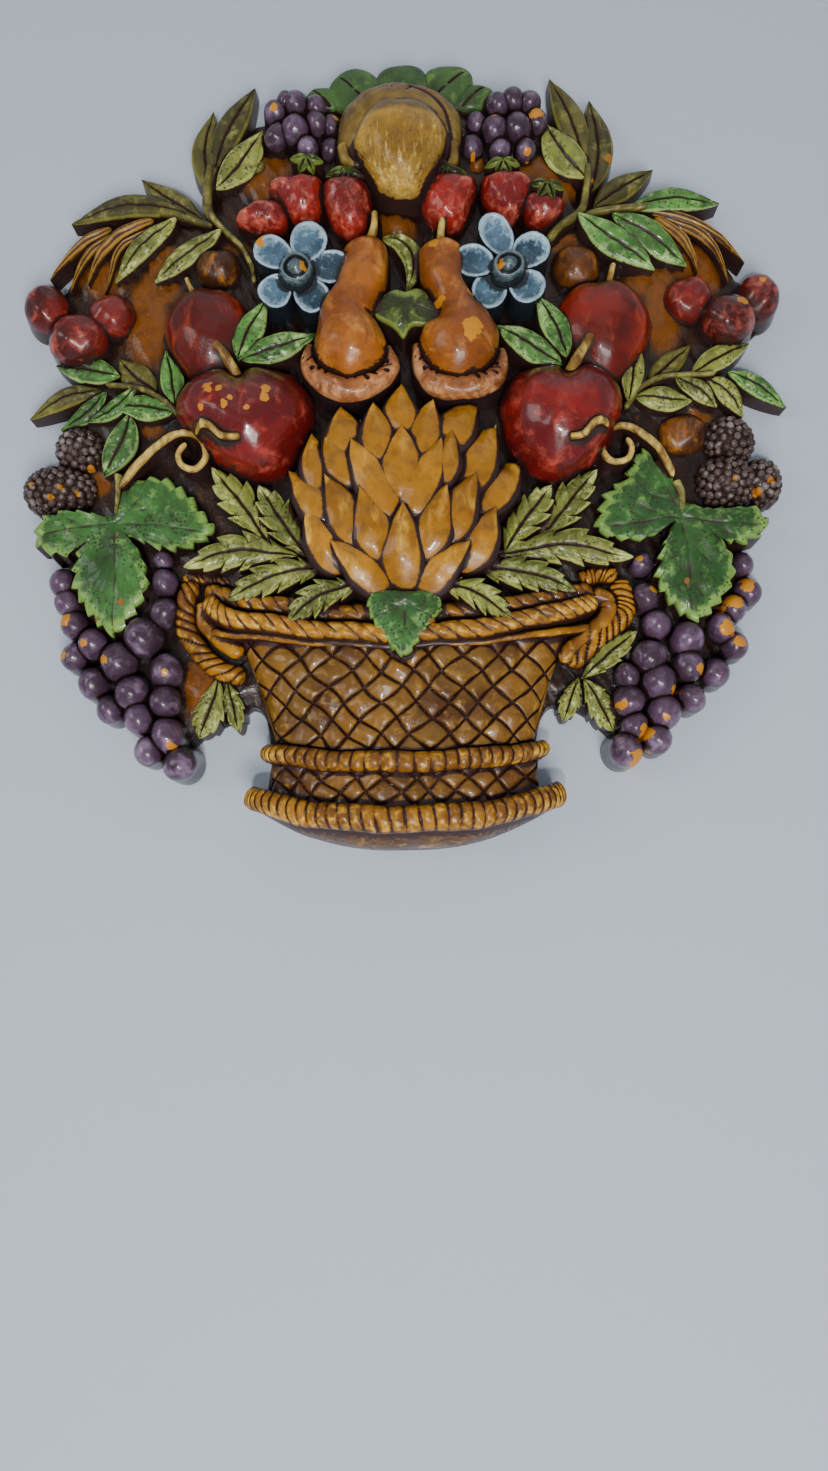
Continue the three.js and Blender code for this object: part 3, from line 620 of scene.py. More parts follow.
# x, z, half width, half height, edge, top, number of beads
BERRIES = [(-114, 144, 8.5, 8, 8, 17, 46), (-121, 129, 12.8, 9.2, 8, 18.5, 80),
           (118, 144, 9, 8.8, 8, 17, 54), (116.5, 128.5, 10.5, 9.5, 9, 19.5, 66),
           (129.3, 129, 7.3, 8.6, 7, 15.5, 42)]


def bramble(x, z, across, up, edge, top, count):
    """Bead k sits at the angle k * golden angle, and its share of the dome's height falls
    evenly from the top to the edge. A bead is about a third wider than its own share of the
    area, so that neighbours press together."""
    k = np.arange(count)
    drop = (k + 0.5) / count
    out = np.sqrt(1 - (1 - drop) ** 2)
    bead_x = x + (across - 0.6) * out * np.cos(k * GOLDEN_ANGLE)
    bead_z = z + (up - 0.6) * out * np.sin(k * GOLDEN_ANGLE)
    bead_h = edge + (top - edge - 1.2) * (1 - drop)
    radius = 1.02 * np.sqrt(across * up / count) * 1.3
    core = dome(x, z, across - 0.8, up - 0.8, edge - 1, top - 1.6, around=40, steps=10)
    beads = [dome(a, b, radius, radius, h - 1.2, h + 0.62 * radius, around=14, steps=5, floor=3.0,
                  spread=0.2)
             for a, b, h in zip(bead_x, bead_z, bead_h)]
    return [core] + beads


FRUIT["brambles"] = [form for row in BERRIES for form in bramble(*row)]
print("bramble fruits:", len(BERRIES), "with", sum(row[-1] for row in BERRIES), "beads")

# %% [markdown]
# ## Gourds and melon
#
# Two bottle gourds stand either side of the middle. Neck and belly are one smooth body, and a
# thick rolled lip hugs the lower half of the belly. The melon at the top is a pale lobe
# bursting out of an open rind.

# %% Bottle gourds
# share of the way down the gourd, then the half width there
LEFT_GOURD = [(0, 2.5), (0.015, 4.8), (0.04, 6.9), (0.09, 8.2), (0.2, 8.3), (0.35, 8.5), (0.47, 8.9),
              (0.56, 9.1), (0.64, 10.4), (0.72, 12.2), (0.8, 13), (0.88, 11.6), (0.94, 8.6), (0.98, 4.6),
              (1, 0.3)]
RIGHT_GOURD = [(0, 2.5), (0.015, 4.6), (0.04, 6.6), (0.09, 7.8), (0.2, 7.8), (0.35, 7.2), (0.47, 6.9),
               (0.56, 7.4), (0.64, 10), (0.72, 12.8), (0.8, 13.8), (0.88, 12.8), (0.94, 10), (0.98, 5.6),
               (1, 0.3)]


def smooth_half(table, count=160, blur=7):
    """The half widths of a table, with its corners rounded by a running mean."""
    at, width = np.array(table, float).T
    s = np.linspace(0, 1, count)
    kernel = np.ones(blur) / blur
    values = np.convolve(np.pad(np.interp(s, at, width), blur // 2, mode="edge"), kernel, mode="valid")
    values[0], values[-1] = THIN, THIN
    return lambda t: np.interp(t, s, values)


def skin_relief(s, t):
    """Soft dents in the gourd's skin."""
    dent = 0.3 * np.sin(17 * s + 2 * t) * np.sin(9 * s - 3 * t + 1)
    return dent * (1 - t**4), 0.35 * line(np.abs(t) - 1, 0.12), 0


def lip_relief(s, t):
    """The glaze has broken into dark pits and notches along the lip's inner side."""
    rough = np.sin(23 * s + 1.2 * t) * np.sin(53 * s + 1.1 - 2.5 * t) + 0.5 * np.sin(97 * s + 5 * t + 2)
    rough = rough + 0.5 * np.sin(9 * s + 1)
    pit = np.clip(1.6 * (rough - 0.85 + 0.9 * t), 0, 1) * (t > -0.6) * (np.sin(np.pi * s) > 0.25)
    return -1.3 * pit + 0.5 * np.sin(21 * s) * (1 - t**2), np.clip(1.1 * pit, 0, 1), 0.3


def gourd_level(s):
    """Height of the flanks, from the neck down."""
    return np.interp(s, [0, 0.3, 0.75, 1], [20, 22.5, 24.5, 22])


def lip_half(s):
    """Half width of a lip, thickest in the middle of its path."""
    return 1.6 + 2.7 * np.sin(np.pi * np.clip(s, 0, 1)) ** 0.8


def lip_level(s):
    """A lip stands highest in the middle of its path."""
    return 21 + 5.5 * np.sin(np.pi * s)


GOURD_PATHS = [
    ([(-11.3, 213.5), (-10.8, 205), (-13.5, 194), (-17, 184.5), (-16.2, 173), (-15.8, 160.5)],
     LEFT_GOURD),
    ([(15.8, 213), (15.9, 206), (16.8, 197), (20, 189.5), (22.3, 181.5), (21.5, 171.5), (21, 160)],
     RIGHT_GOURD)]
LIP_PATHS = [
    [(-30.5, 176), (-30.6, 168.5), (-27, 162.6), (-21.6, 159.2), (-15.5, 158.2), (-9.4, 159.6),
     (-4.6, 163.2), (-2.4, 168.3), (-3.4, 175)],
    [(7.4, 175.5), (7.8, 168), (10.6, 162.3), (15.4, 159), (21.5, 158), (28, 159), (33.2, 162),
     (36, 166.4), (36.2, 173)]]
GOURDS = [blade(path, smooth_half(table), gourd_level, 12.2, stations=150, columns=37,
                relief=skin_relief)
          for path, table in GOURD_PATHS]
LIP_FORMS = [blade(path, lip_half, lip_level, 4.4, stations=170, columns=17, relief=lip_relief)
             for path in LIP_PATHS]
print("gourds:", len(GOURDS), "and lips:", len(LIP_FORMS))

# %% Melon
NO_POCKET = 9.5                           # forms over the hanging pocket stop above it


def rind_relief(share, x, z):
    """Creases between the rind's segments: long arcs either side of the lobe, short ones on
    the cap. soft holds the glaze back at the upper left, where the lobe runs into the rind.
    Above z = 263 the tint lays a painted shade, a darker brown, over the top of the rind."""
    right = 0.8 * line(np.hypot(x - 1.5, (z - 250) * 0.95) - 19.2, 0.7) * (x > 5) * (z > 244)
    left = 0.2 * line(np.hypot(x - 2, (z - 250) * 0.95) - 18.6, 0.6) * (x < 2) * (z > 254)
    cap = 0.5 * line(np.abs(x - 2.5) - 0.5 * (z - 266) - 1.5, 0.5) * (z > 267) * (z < 272.5)
    cut = np.clip(right + left + cap, 0, 1)
    soft = 0.7 * (x < 1) * (z > 250) * (share < 0.93)
    return -1.6 * cut, cut - soft, np.clip((z - 263) / 8, 0, 1)


def lobe_relief(share, x, z):
    """The flesh swells a little and has a chin low down. Above z = 251 the tint lays a painted
    shade, a darker khaki, over the top of the lobe, and soft holds the glaze back at the upper
    left, as on the rind."""
    swell = 0.35 * np.sin(0.45 * x + 1) * np.sin(0.38 * z) * (1 - share**4)
    chin = 1.0 * line(z - 235.5, 4.5) * line(x - 3, 9)
    soft = 0.7 * (x < 1) * (z > 250)
    return swell + chin, 0.35 * line(share - 1, 0.07) - soft, np.clip((z - 251) / 6, 0, 1)


RIND_OUTLINE = [(-20.5, 251), (-20.8, 257.5), (-19.5, 263), (-16.5, 267.8), (-11.5, 271.8), (-5, 274.2),
                (3, 274.8), (11, 273.8), (17.5, 270.8), (22, 266), (24.2, 260.5), (24, 253), (20.5, 246),
                (12, 242), (1.5, 241), (-9, 242), (-17, 246)]
LOBE_OUTLINE = [(2.5, 263), (-4, 261.8), (-9.5, 258.2), (-13, 253), (-14.4, 248), (-13, 244),
                (-10.6, 239.8), (-8, 235.2), (-4.8, 231), (-0.8, 228.2), (3.5, 227.4), (8, 228.6),
                (11.6, 232), (14, 237), (16.3, 242.5), (18.2, 247.5), (18.4, 251.5), (16.2, 256),
                (12.6, 260), (8, 262.4)]
# the rind's lower corners curl in and thin out
CURLS = [[(-18.5, 251), (-17, 245.5), (-12.8, 243.5), (-11.8, 247.5), (-13.6, 249.5)],
         [(21, 251), (20.8, 245.5), (18, 243), (16.4, 246.5), (18, 249)]]
RIND = drawn((2, 258), RIND_OUTLINE, 15, 29, around=120, steps=34, floor=NO_POCKET,
             relief=rind_relief)
LOBE = drawn((3, 247), LOBE_OUTLINE, 23.5, 37, around=120, power=2.1, steps=40, floor=NO_POCKET,
             relief=lobe_relief)
MELON = {
    "melon_rind": [RIND] + [blade(path, lambda s: 2.2 * (1 - 0.6 * s), flat(19), 2.4,
                                  floor=NO_POCKET, stations=44) for path in CURLS],
    "melon_flesh": [LOBE],
}
print("melon:", {name: len(forms) for name, forms in MELON.items()})

# %% [markdown]
# ## Flowers
#
# Two five-petalled flowers. A petal is a shallow cup: a mound whose middle is lower than its
# rim, which the painter then picks out in pale blue. The centre is a round boss with a button
# inside a ring.

# %% Petals and centres
def cupped(share, x, z):
    """Lift of a petal: it rolls over at the very edge, and a few faint rays run over it."""
    roll = -1.1 * np.clip((share - 0.9) / 0.1, 0, 1) ** 2
    ray = np.sin(3.1 * x + 1.3 * z) * np.sin(0.7 * x - 1.9 * z)
    inner = 0.25 * np.clip(ray - 0.2, 0, 1) * (share < 0.7)
    tint = line(share - 0.9, 0.1) + 0.35 * np.clip(-ray, 0, 1)
    return roll - 0.4 * inner, inner + 0.3 * line(share - 1.02, 0.06), tint


# centre, then each petal's middle, direction, half length, half width
FLOWERS = [
    ((-34.4, 200.3), [(-41.5, 194.5, 225, 6.6, 5.8), (-29.5, 193.2, 305, 6.8, 5.9),
                      (-23.2, 203, 5, 7.4, 6.0), (-30.6, 211.3, 62, 7.6, 6.4),
                      (-42.6, 207.6, 140, 7.8, 5.7)]),
    ((38.8, 200.8), [(33, 194.3, 240, 7.0, 6.1), (45.2, 195, 315, 6.7, 6.0),
                     (46.6, 207.4, 40, 7.6, 6.3), (35.3, 213.3, 112, 7.8, 5.9),
                     (27.4, 203.6, 165, 7.0, 5.8)]),
]


def flower(centre, petals):
    """Petals are shallow bowls, wider outwards, that turn away from the centre. Each lies
    0.3 mm above the one before."""
    return [dome(x, z, half_width, half_length, 26.2 + 0.3 * k, 23.8 + 0.3 * k, egg=0.14,
                 tilt=degrees - 90, around=64, steps=22, power=1.8, spread=0.3, relief=cupped)
            for k, (x, z, degrees, half_length, half_width) in enumerate(petals)]


def ring_relief(share, x, z):
    """A button inside a dark groove inside a pale ring, on a cup that flares outwards."""
    ridge = line(share - 0.72, 0.09)
    button = line(share, 0.36)
    hollow = line(share - 0.55, 0.1)
    flare = np.clip((share - 0.78) / 0.22, 0, 1)
    lift = 1.2 * ridge + 1.4 * button - 0.8 * hollow - 3.0 * flare
    return lift, np.clip(0.4 * hollow + 0.5 * flare, 0, 1), ridge + 0.5 * button


FLOWER_FORMS = [form for row in FLOWERS for form in flower(*row)]
CENTRE_FORMS = [dome(*centre, 6.3, 6.3, 28.6, 30.4, around=60, steps=26, power=1.5, spread=0.5,
                     relief=ring_relief)
                for centre, _ in FLOWERS]
print("flowers:", len(FLOWER_FORMS), "petals")

# %% [markdown]
# ## Leaves
#
# Every leaf is a blade: pointed ones have a smooth edge, acanthus leaves have teeth that lean
# forward, and each has a cut midrib with slanting side veins. They differ in colour, so they
# are kept in families: olive, pale, green and emerald.

# %% Leaf makers
def leaf_half(width, teeth=0, bite=0.0, belly=0.85):
    """Half width of a leaf: sin(pi s^belly)^0.9 of the full one, and each tooth grows until
    it is cut off square."""
    def half(s):
        smooth = 0.5 * width * np.sin(np.pi * np.clip(s, 0, 1) ** belly) ** 0.9
        saw = (teeth * s) % 1.0 if teeth else 1.0
        return smooth * (1 - bite * (1 - saw))
    return half


def leaf_relief(veins, depth=0.8, swell=0.45):
    """A midrib cut along t = 0 and side veins where veins * s - 0.8 |t| is a whole number;
    each half of the leaf is a soft ridge and its edge turns down."""
    def relief(s, t):
        rib = line(t, 0.06) * (1 - s**6)
        phase = veins * s - 0.8 * np.abs(t)
        side_vein = line(gap(phase), 0.12) * line(np.abs(t) - 0.5, 0.4)
        halves = np.sin(np.pi * np.abs(t))
        pillow = np.abs(np.sin(np.pi * phase)) * (1 - t**2)
        edge = line(np.abs(t) - 0.93, 0.1)
        lift = 0.55 * halves - depth * rib - 0.35 * depth * side_vein + 0.6 * swell * pillow
        ink = np.clip(0.38 * rib + 0.1 * side_vein + 0.3 * line(np.abs(t) - 1, 0.06), 0, 1)
        return lift, ink, edge + 0.35 * pillow * halves
    return relief


def leaf(x0, z0, x1, z1, width, bow, root_h, tip_h, teeth=0, bite=0.0, crown=1.5, veins=5,
         stations=44, columns=19):
    """A leaf from root to tip. bow moves its middle to the left of the way, and its height
    runs straight from root_h to tip_h but for a small wave, sin(pi s), of its own."""
    length = np.hypot(x1 - x0, z1 - z0)
    middle = ((x0 + x1) / 2 - (z1 - z0) * bow / length, (z0 + z1) / 2 + (x1 - x0) * bow / length)
    wave = 0.5 * np.sin(0.7 * (x0 + z0))
    return blade([(x0, z0), middle, (x1, z1)], leaf_half(width, teeth, bite),
                 lambda s: between(root_h, tip_h, s) + wave * np.sin(np.pi * s), crown, stations, columns,
                 power=1.9, lean=0.6 if teeth else 0.15, spread=0.5, relief=leaf_relief(veins))


# root x, root z, tip x, tip z, width, bow, h at the root, h at the tip
POINTED = {
    "olive_leaves": [
        (-67.5, 238.5, -67, 273, 10.5, 2.5, 10, 7), (-66, 249, -51.5, 282, 10.5, 1.5, 10, 7),
        (-70, 229, -93.5, 247, 9.5, 0.5, 11, 7), (-76, 231.5, -119, 230, 9, -5, 11, 7),
        (71.5, 238, 72, 275.5, 11.5, -3, 10, 7), (69.5, 249, 57.5, 284, 11, -1.5, 10, 7),
        (72, 231.5, 95, 248, 9.5, 1, 11, 7), (88.5, 162.5, 105, 179, 8.5, 0, 14, 11),
        (-85.5, 163, -100, 177, 10.5, 1, 14, 11), (-106, 165, -133, 156.5, 7.5, -2.5, 12, 7),
        (-52, 246, -47.5, 251, 4, 0, 11, 11)],
    "pale_leaves": [
        (-65, 239.5, -48.5, 263.5, 12.5, -1.5, 13, 10), (-79, 227, -101.5, 205, 8, -1.5, 15, 12),
        (-63, 222.5, -87, 204.5, 8.5, -1, 15, 13), (69, 241.5, 55, 264.5, 14, 1, 13, 10),
        (104.5, 167.5, 127, 180, 9, 1, 13, 9), (98.5, 165.5, 113.5, 155.5, 8, 1.5, 15, 12),
        (109.5, 166.5, 123.5, 153, 8, 2, 13, 10), (83.5, 158, 104, 157.5, 9, 0, 16, 14),
        (81, 156.5, 86.5, 179.5, 8.5, 0.5, 17, 14)],
    "green_leaves": [
        (85, 231, 118.5, 234, 9.5, 2, 12, 8), (78, 227, 104, 208, 12, 1, 15, 13),
        (65, 226, 92.5, 206, 11.5, 0, 16, 14), (118, 168.5, 140, 157, 7.5, 1.5, 12, 7),
        (-55, 170, -45.5, 192, 10, 1.5, 23, 22), (-53.5, 170, -28.5, 180, 10, 0.5, 23, 22),
        (58.5, 170, 49.5, 192.5, 10, -1.5, 23, 22), (57, 167, 34, 182, 10, -0.5, 23, 22),
        (-78, 157.5, -82.5, 178, 8.5, 0, 17, 14), (-99, 170, -123.5, 176, 10, 0, 13, 8),
        (-103.5, 164, -121, 151.5, 7, 1, 13, 9), (-91.5, 165, -111, 153.5, 6.5, 2, 15, 12),
        (-79, 155.5, -101, 158.5, 9.5, 0, 16, 14), (-95, 155, -104.5, 133, 11.5, 1, 14, 12)],
}
# the same, for the toothed leaves
ACANTHUS = [
    (-44, 104, -65, 133.5, 14, -1, 18, 20), (-31.5, 100, -48.5, 125.5, 14, -0.5, 20, 22),
    (-35, 101.5, -74, 98.5, 14.5, -3.5, 20, 20), (-25, 97, -59, 86.5, 13.5, -2.5, 22, 22),
    (-13, 90.5, -38, 76.5, 12, -3, 27, 28), (47, 104, 69, 130.5, 14, 1, 18, 20),
    (35.5, 101, 52.5, 125, 13, 0.5, 20, 22), (31.5, 100.5, 80.5, 99.5, 14.5, 4, 20, 20),
    (24.5, 96, 59.5, 87.5, 13, 2.5, 22, 22), (13, 89.5, 38, 77, 11.5, 2.5, 27, 28)]
LOW_LEAVES = [(-63.5, 61, -71, 40, 12, 0.5, 13, 9), (-61, 60.5, -57, 41.5, 7.5, 0, 13, 9),
              (61, 59, 56.5, 44, 8, 0, 13, 9), (63, 58.5, 74, 40.5, 10.5, 0.5, 13, 9),
              (62, 58.5, 82, 75, 10, 0, 13, 13)]
CRESCENT = blade([(-5, 216.5), (1.5, 215), (5.8, 210), (6.2, 204), (3, 196)],
                 leaf_half(7.5), flat(18), 2.0, columns=17, relief=leaf_relief(4))
LEAVES = {name: [leaf(*row) for row in rows] for name, rows in POINTED.items()}
LEAVES["acanthus"] = [leaf(*row, teeth=5, bite=0.34, crown=2.4, stations=90) for row in ACANTHUS]
LEAVES["acanthus"] += [leaf(*row, teeth=4, bite=0.25, crown=2.0, veins=4, stations=60)
                       for row in LOW_LEAVES]
LEAVES["pale_leaves"].append(CRESCENT)
print("leaves:", {name: len(forms) for name, forms in LEAVES.items()})

# %% [markdown]
# The vine leaves have deep bays between their lobes, so a single blade can't make them. They
# are mounds on a lobed outline instead, with small teeth set along it, and with veins cut from
# the heart to each tip and branching on the way.

# %% Lobed leaves
def vein_net(heart, tips, branches=3, spread_deg=40.0):
    """Straight cuts as [start, end]: one from the heart to each tip, and side veins that leave
    it both ways at the same angle and shorten towards the tip."""
    start = np.array(heart, float)
    cuts = [(start, start + 0.93 * (np.array(tip) - start), 0.75) for tip in tips]
    for tip in tips:
        way = np.array(tip, float) - start
        for k in range(1, branches + 1):
            share = 0.22 + 0.6 * (k - 1) / branches
            for turn in (-spread_deg, spread_deg):
                c, s = np.cos(np.radians(turn)), np.sin(np.radians(turn))
                turned = np.array([c * way[0] - s * way[1], s * way[0] + c * way[1]])
                foot = start + share * way
                cuts.append((foot, foot + turned * 0.42 * (1 - share), 0.6))
    return cuts


def lobed(heart, outline, tips, level, rise, pitch=5.6, bite=2.3, around=300, steps=24):
    """A flat mound with a toothed outline. Teeth are a saw wave along the outline's length,
    pushed out along its normal; a vein is a bell curve of the distance to its line."""
    edge, length = even_outline(outline, around)
    along = np.roll(edge, -1, axis=0) - np.roll(edge, 1, axis=0)
    normal = np.stack([along[:, 1], -along[:, 0]], axis=1)
    normal = normal / np.linalg.norm(along, axis=1, keepdims=True)
    saw = (np.arange(around) / around * np.round(length / pitch)) % 1.0
    calm = np.clip(np.linalg.norm(edge - heart, axis=1) / 14.0, 0, 1) ** 2
    edge = edge + normal * (bite * calm * (saw - 0.5))[:, None]
    cuts = vein_net(heart, tips)

    def relief(share, x, z):
        ink = 0 * x
        for start, end, strength in cuts:
            way = end - start
            size = way @ way
            t = np.clip(((x - start[0]) * way[0] + (z - start[1]) * way[1]) / size, 0, 1)
            far = np.hypot(x - start[0] - t * way[0], z - start[1] - t * way[1])
            ink = np.maximum(ink, strength * line(far, 0.62))
        swell = 0.8 * np.sin(0.42 * x + 0.8) * np.sin(0.38 * z + 0.1 * x) * (1 - share**3)
        return swell - 0.5 * ink, 0.45 * ink, line(share - 0.97, 0.09)
    return mound(heart, edge, level, level + rise, power=3.2, steps=steps, relief=relief,
                 spread=0.7)


VINE_LEFT = [(-102.5, 118), (-114, 119), (-124.5, 117.5), (-127, 108), (-117.5, 104), (-108, 109.5),
             (-113, 102.5), (-113.5, 94), (-107.5, 83), (-99.5, 75.5), (-91.5, 85), (-88.5, 95.5),
             (-91, 104.5), (-96.8, 111), (-88.5, 108), (-79, 105.5), (-65.5, 111), (-70, 120.5),
             (-78, 128.5), (-86.5, 131.5), (-95, 128), (-98.5, 119.5)]
VINE_RIGHT = [(97, 121), (93, 131.5), (86.5, 138.5), (82, 136), (79, 128.5), (72, 122), (68.5, 111),
              (75.5, 108), (84, 107.5), (90.5, 109.5), (95.5, 112.5), (91.5, 103.5), (89.5, 95.5),
              (92, 87), (101.5, 78), (111, 84.5), (115.5, 95), (113.5, 104), (107, 109.5), (113, 107),
              (120.5, 105), (128, 110.5), (124, 117), (113, 117), (104, 118.5)]
CENTRE_LEAF = [(3, 194), (8, 194.5), (12.5, 189.5), (17, 183.5), (11, 181), (5.5, 181), (2.5, 177),
               (-1.2, 181.5), (-8.5, 186), (-6, 191), (-1, 194.5)]
RIM_LEAF = [(1.5, 86.8), (10.5, 86.5), (13.6, 81.5), (11, 76.5), (6.5, 70.5), (1.2, 64.8), (-4.6, 70.5),
            (-8.6, 76), (-10.8, 81), (-9.5, 86)]
LEAVES["vine_leaves"] = [
    lobed((-98.5, 115), VINE_LEFT, [(-126, 111), (-99.5, 76), (-66, 111.5), (-84, 131)],
          15.5, 3.2),
    lobed((98.5, 114), VINE_RIGHT, [(127.5, 110.5), (101.5, 78.5), (69, 111.5), (86, 138)],
          15.5, 3.2),
    lobed((1.5, 82.5), RIM_LEAF, [(1.2, 65.5), (-9.5, 77), (12, 77)],
          29, 3.0, pitch=4.2, bite=1.2, around=160, steps=18)]
LEAVES["centre_leaf"] = [
    lobed((3, 190), CENTRE_LEAF, [(16.5, 183.5), (-8, 186), (2.5, 177.5)],
          24, 2.4, pitch=30, bite=0.0, around=120, steps=16)]
print("lobed leaves:", len(LEAVES["vine_leaves"]) + 1)

# %% Leaves round the melon and calyxes of the strawberries
# middle, outline
TOP_LEAVES = [
    ((-27, 276), [(-33, 274.5), (-30, 279.5), (-23.5, 280), (-20, 277), (-21, 272), (-28, 271)]),
    ((-15, 279), [(-19, 270.5), (-24.8, 275), (-24, 281), (-20, 286), (-15, 288), (-10.5, 287.5),
                  (-6.8, 285), (-4.5, 280.5), (-6, 273), (-13, 270)]),
    ((3, 280), [(-7.4, 280), (-6, 285.5), (-2, 288.3), (3, 289), (8, 288.5), (11.5, 286),
                (13.2, 280.5), (12, 273), (3, 271), (-6, 273)]),
    ((19.5, 280), [(11.6, 280), (12, 286), (16, 288.3), (21, 288.6), (25.5, 288), (29, 284.5),
                   (28.5, 279), (26.5, 274.5), (23.5, 271), (15, 270)]),
    ((29.5, 275.8), [(22, 272), (24, 276.5), (27.5, 280), (32, 280.5), (36, 279), (37, 275.5),
                     (33, 271.5), (27, 270)]),
]
# centre, number of leaflets, first and last direction in degrees, length
CALYXES = [((-17, 240.5), 5, 190, 345, 7.5), ((-31, 246), 4, 185, 345, 6), ((17.5, 241), 5, 190, 350, 8),
           ((38.5, 243), 4, 190, 350, 6.5), ((54, 235), 4, 180, 340, 6.5)]


def groove_relief(x0, z0):
    """One straight cut through the leaf's middle that rises outwards, to the left on the left
    half of the plaque and to the right on the right half. The middle leaf has none."""
    slant = 0.8 if x0 < 0 else 2.3

    def relief(share, x, z):
        cut = line((x - x0) * np.cos(slant) + (z - z0) * np.sin(slant), 0.45) * (share < 0.8)
        return -0.9 * cut, 0.8 * cut, 0.4 * line(share - 0.95, 0.1)
    return relief if abs(x0) > 5 else None


LEAVES["top_leaves"] = [drawn(middle, outline, 8.5, 11.8, around=72, steps=16, power=2.4,
                              relief=groove_relief(*middle))
                        for middle, outline in TOP_LEAVES]
LEAVES["calyxes"] = [leaf(x, z, x + length * np.cos(a), z + length * np.sin(a), 3.4, 0, 22, 20,
                          stations=18, columns=9, crown=1.0, veins=1)
                     for (x, z), count, first, last, length in CALYXES
                     for a in np.radians(np.linspace(first, last, count))]
print("top leaves:", len(TOP_LEAVES), "calyx leaflets:", len(LEAVES["calyxes"]))

# %% [markdown]
# ## Stalks, stems and tendrils
#
# Thin round forms tie the groups together: two vine tendrils that curl in front of the
# apples, short gold stalks, the leaf stems and the dry grassy stems above the cherries. All
# are narrow blades along a given path.

# %% Stalks
# path, radius, height of the sides
GOLD_STALKS = [
    ([(-97, 127), (-87.5, 138.5), (-80.5, 144.5), (-73.5, 146), (-68.5, 142.8), (-67.5, 137),
      (-70.8, 132.8), (-75.3, 134.2), (-76.8, 138.8), (-74.2, 142)], 1.25, 20),
    ([(-70, 144.5), (-64, 144.2), (-59.5, 140.5), (-52.5, 139.7)], 1.4, (24, 31.5, 33.5)),
    ([(95, 128), (91, 138), (86, 142.8), (80, 146), (75, 145.6), (71.4, 142.5), (70.6, 137.5),
      (74, 133.4), (79, 134.3), (81, 138.5), (79.3, 141.6)], 1.25, 20),
    ([(72, 144.8), (66.5, 143.6), (62, 139.2), (57.5, 137.8)], 1.4, (27, 32, 33.5)),
    ([(-55.5, 163), (-57.5, 168), (-60.2, 173), (-62.8, 176.5)], 1.9, 25),
    ([(59.5, 163), (62, 168.5), (65.3, 173.5), (67.5, 177)], 2.0, 25),
    ([(-9.8, 212.5), (-8, 218.5), (-7.8, 225.5)], 1.5, 21),
    ([(15.2, 213), (15.9, 219), (17.6, 225.5)], 1.4, 21),
    ([(75.5, 197), (76.3, 202), (77.6, 207)], 1.2, 17),
    ([(-72.5, 199), (-74, 202), (-75, 205)], 1.0, 15)]
STEMS = [
    ([(-66, 228), (-68, 233), (-68.5, 240.5), (-67.8, 250)], 1.9, 11),
    ([(-67, 230), (-61.5, 222.5), (-56.5, 217.5), (-52.5, 210.5), (-50.5, 203.5)], 1.1, 14),
    ([(-86, 232), (-76, 229.5), (-66, 226.5)], 1.4, 11.5),
    ([(55, 218), (59, 223.5), (65, 227), (68.8, 233), (69.8, 247)], 1.6, 13.5),
    ([(92, 231.3), (78, 230.5), (66.5, 227.5)], 1.4, 12),
    ([(-76, 153.5), (-80, 157.5), (-86, 161.5), (-93, 164.3), (-103, 166)], 1.1, 16),
    ([(80, 154), (84, 160), (90, 164), (99, 166), (113, 167)], 1.1, 16),
    ([(-98, 133), (-98.5, 127), (-99, 118)], 1.3, 16),
    ([(96, 127), (98, 122), (98.5, 116)], 1.5, 18)]
DRY_STEMS = [
    ([(-88, 228.5), (-98, 224.5), (-105.5, 217.5), (-109, 212), (-111.5, 205)], 2.3, 12),
    ([(-85, 226.5), (-95, 222.5), (-100.5, 218), (-103.5, 209), (-105.5, 201.5)], 1.7, 11),
    ([(-104, 227.5), (-113, 222.5), (-120.5, 215.3), (-126, 208)], 1.9, 9),
    ([(-103, 225), (-111, 219), (-116, 211), (-118.5, 203)], 1.6, 9),
    ([(93, 229.5), (106, 227), (117.5, 220.2), (126.5, 210.5)], 2.0, 10),
    ([(94, 226.5), (103, 220), (106.5, 214), (108.5, 206)], 1.9, 12),
    ([(96, 227.5), (109, 223), (116.5, 215), (120, 203.5)], 1.8, 10)]


def stalk(path, radius, height):
    """A round stalk that thins by a third towards its end. Given three heights, it passes
    them at its start, at a fifth of the way and at its end."""
    half = round_ends(radius, 0.05)
    heights = height if isinstance(height, tuple) else (height, height, height)
    return blade(path, lambda s: half(s) * (1.1 - 0.35 * s),
                 lambda s: np.interp(s, [0, 0.2, 1], heights), radius * 1.1,
                 stations=13 * len(path), columns=11, spread=0.3)


def dry_relief(s, t):
    """Grass seams: fine ridges that run along a dry stem."""
    seam = 0.5 + 0.5 * np.cos(7 * t + 3 * s)
    return 0.5 * seam - 0.3, 0.45 * (1 - seam), seam


STALKS = {
    "gold_stalks": [stalk(*row) for row in GOLD_STALKS],
    "leaf_stems": [stalk(*row) for row in STEMS],
    "dry_stems": [blade(path, leaf_half(2 * radius, belly=0.6), flat(height), radius * 0.9,
                        stations=50, columns=21, spread=0.5, relief=dry_relief)
                  for path, radius, height in DRY_STEMS],
}
print("stalks:", {name: len(forms) for name, forms in STALKS.items()})

# %% [markdown]
# ## Height of the whole face
#
# Glaze runs into recesses and a dry brush only touches what stands proud, so the painter needs
# to know how deep every point lies. The heights of all forms are gathered into one grid of
# half-millimetre cells, and blurred copies of it say how high the neighbourhood is.

# %% Gather the heights
CELL = 0.5
MARGIN = 6.0
WEST, EAST = CAD_LOW.x / MM - MARGIN, CAD_HIGH.x / MM + MARGIN
NORTH = DRAWN_HEIGHT + MARGIN
SHAPE = (int((NORTH + MARGIN) / CELL) + 2, int((EAST - WEST) / CELL) + 2)
heights = np.zeros(SHAPE)


def cell_of(x, z):
    """Row and column of the grid that a point of the face falls in."""
    row = np.clip(np.round((z + MARGIN) / CELL), 0, SHAPE[0] - 1).astype(int)
    column = np.clip(np.round((x - WEST) / CELL), 0, SHAPE[1] - 1).astype(int)
    return row, column


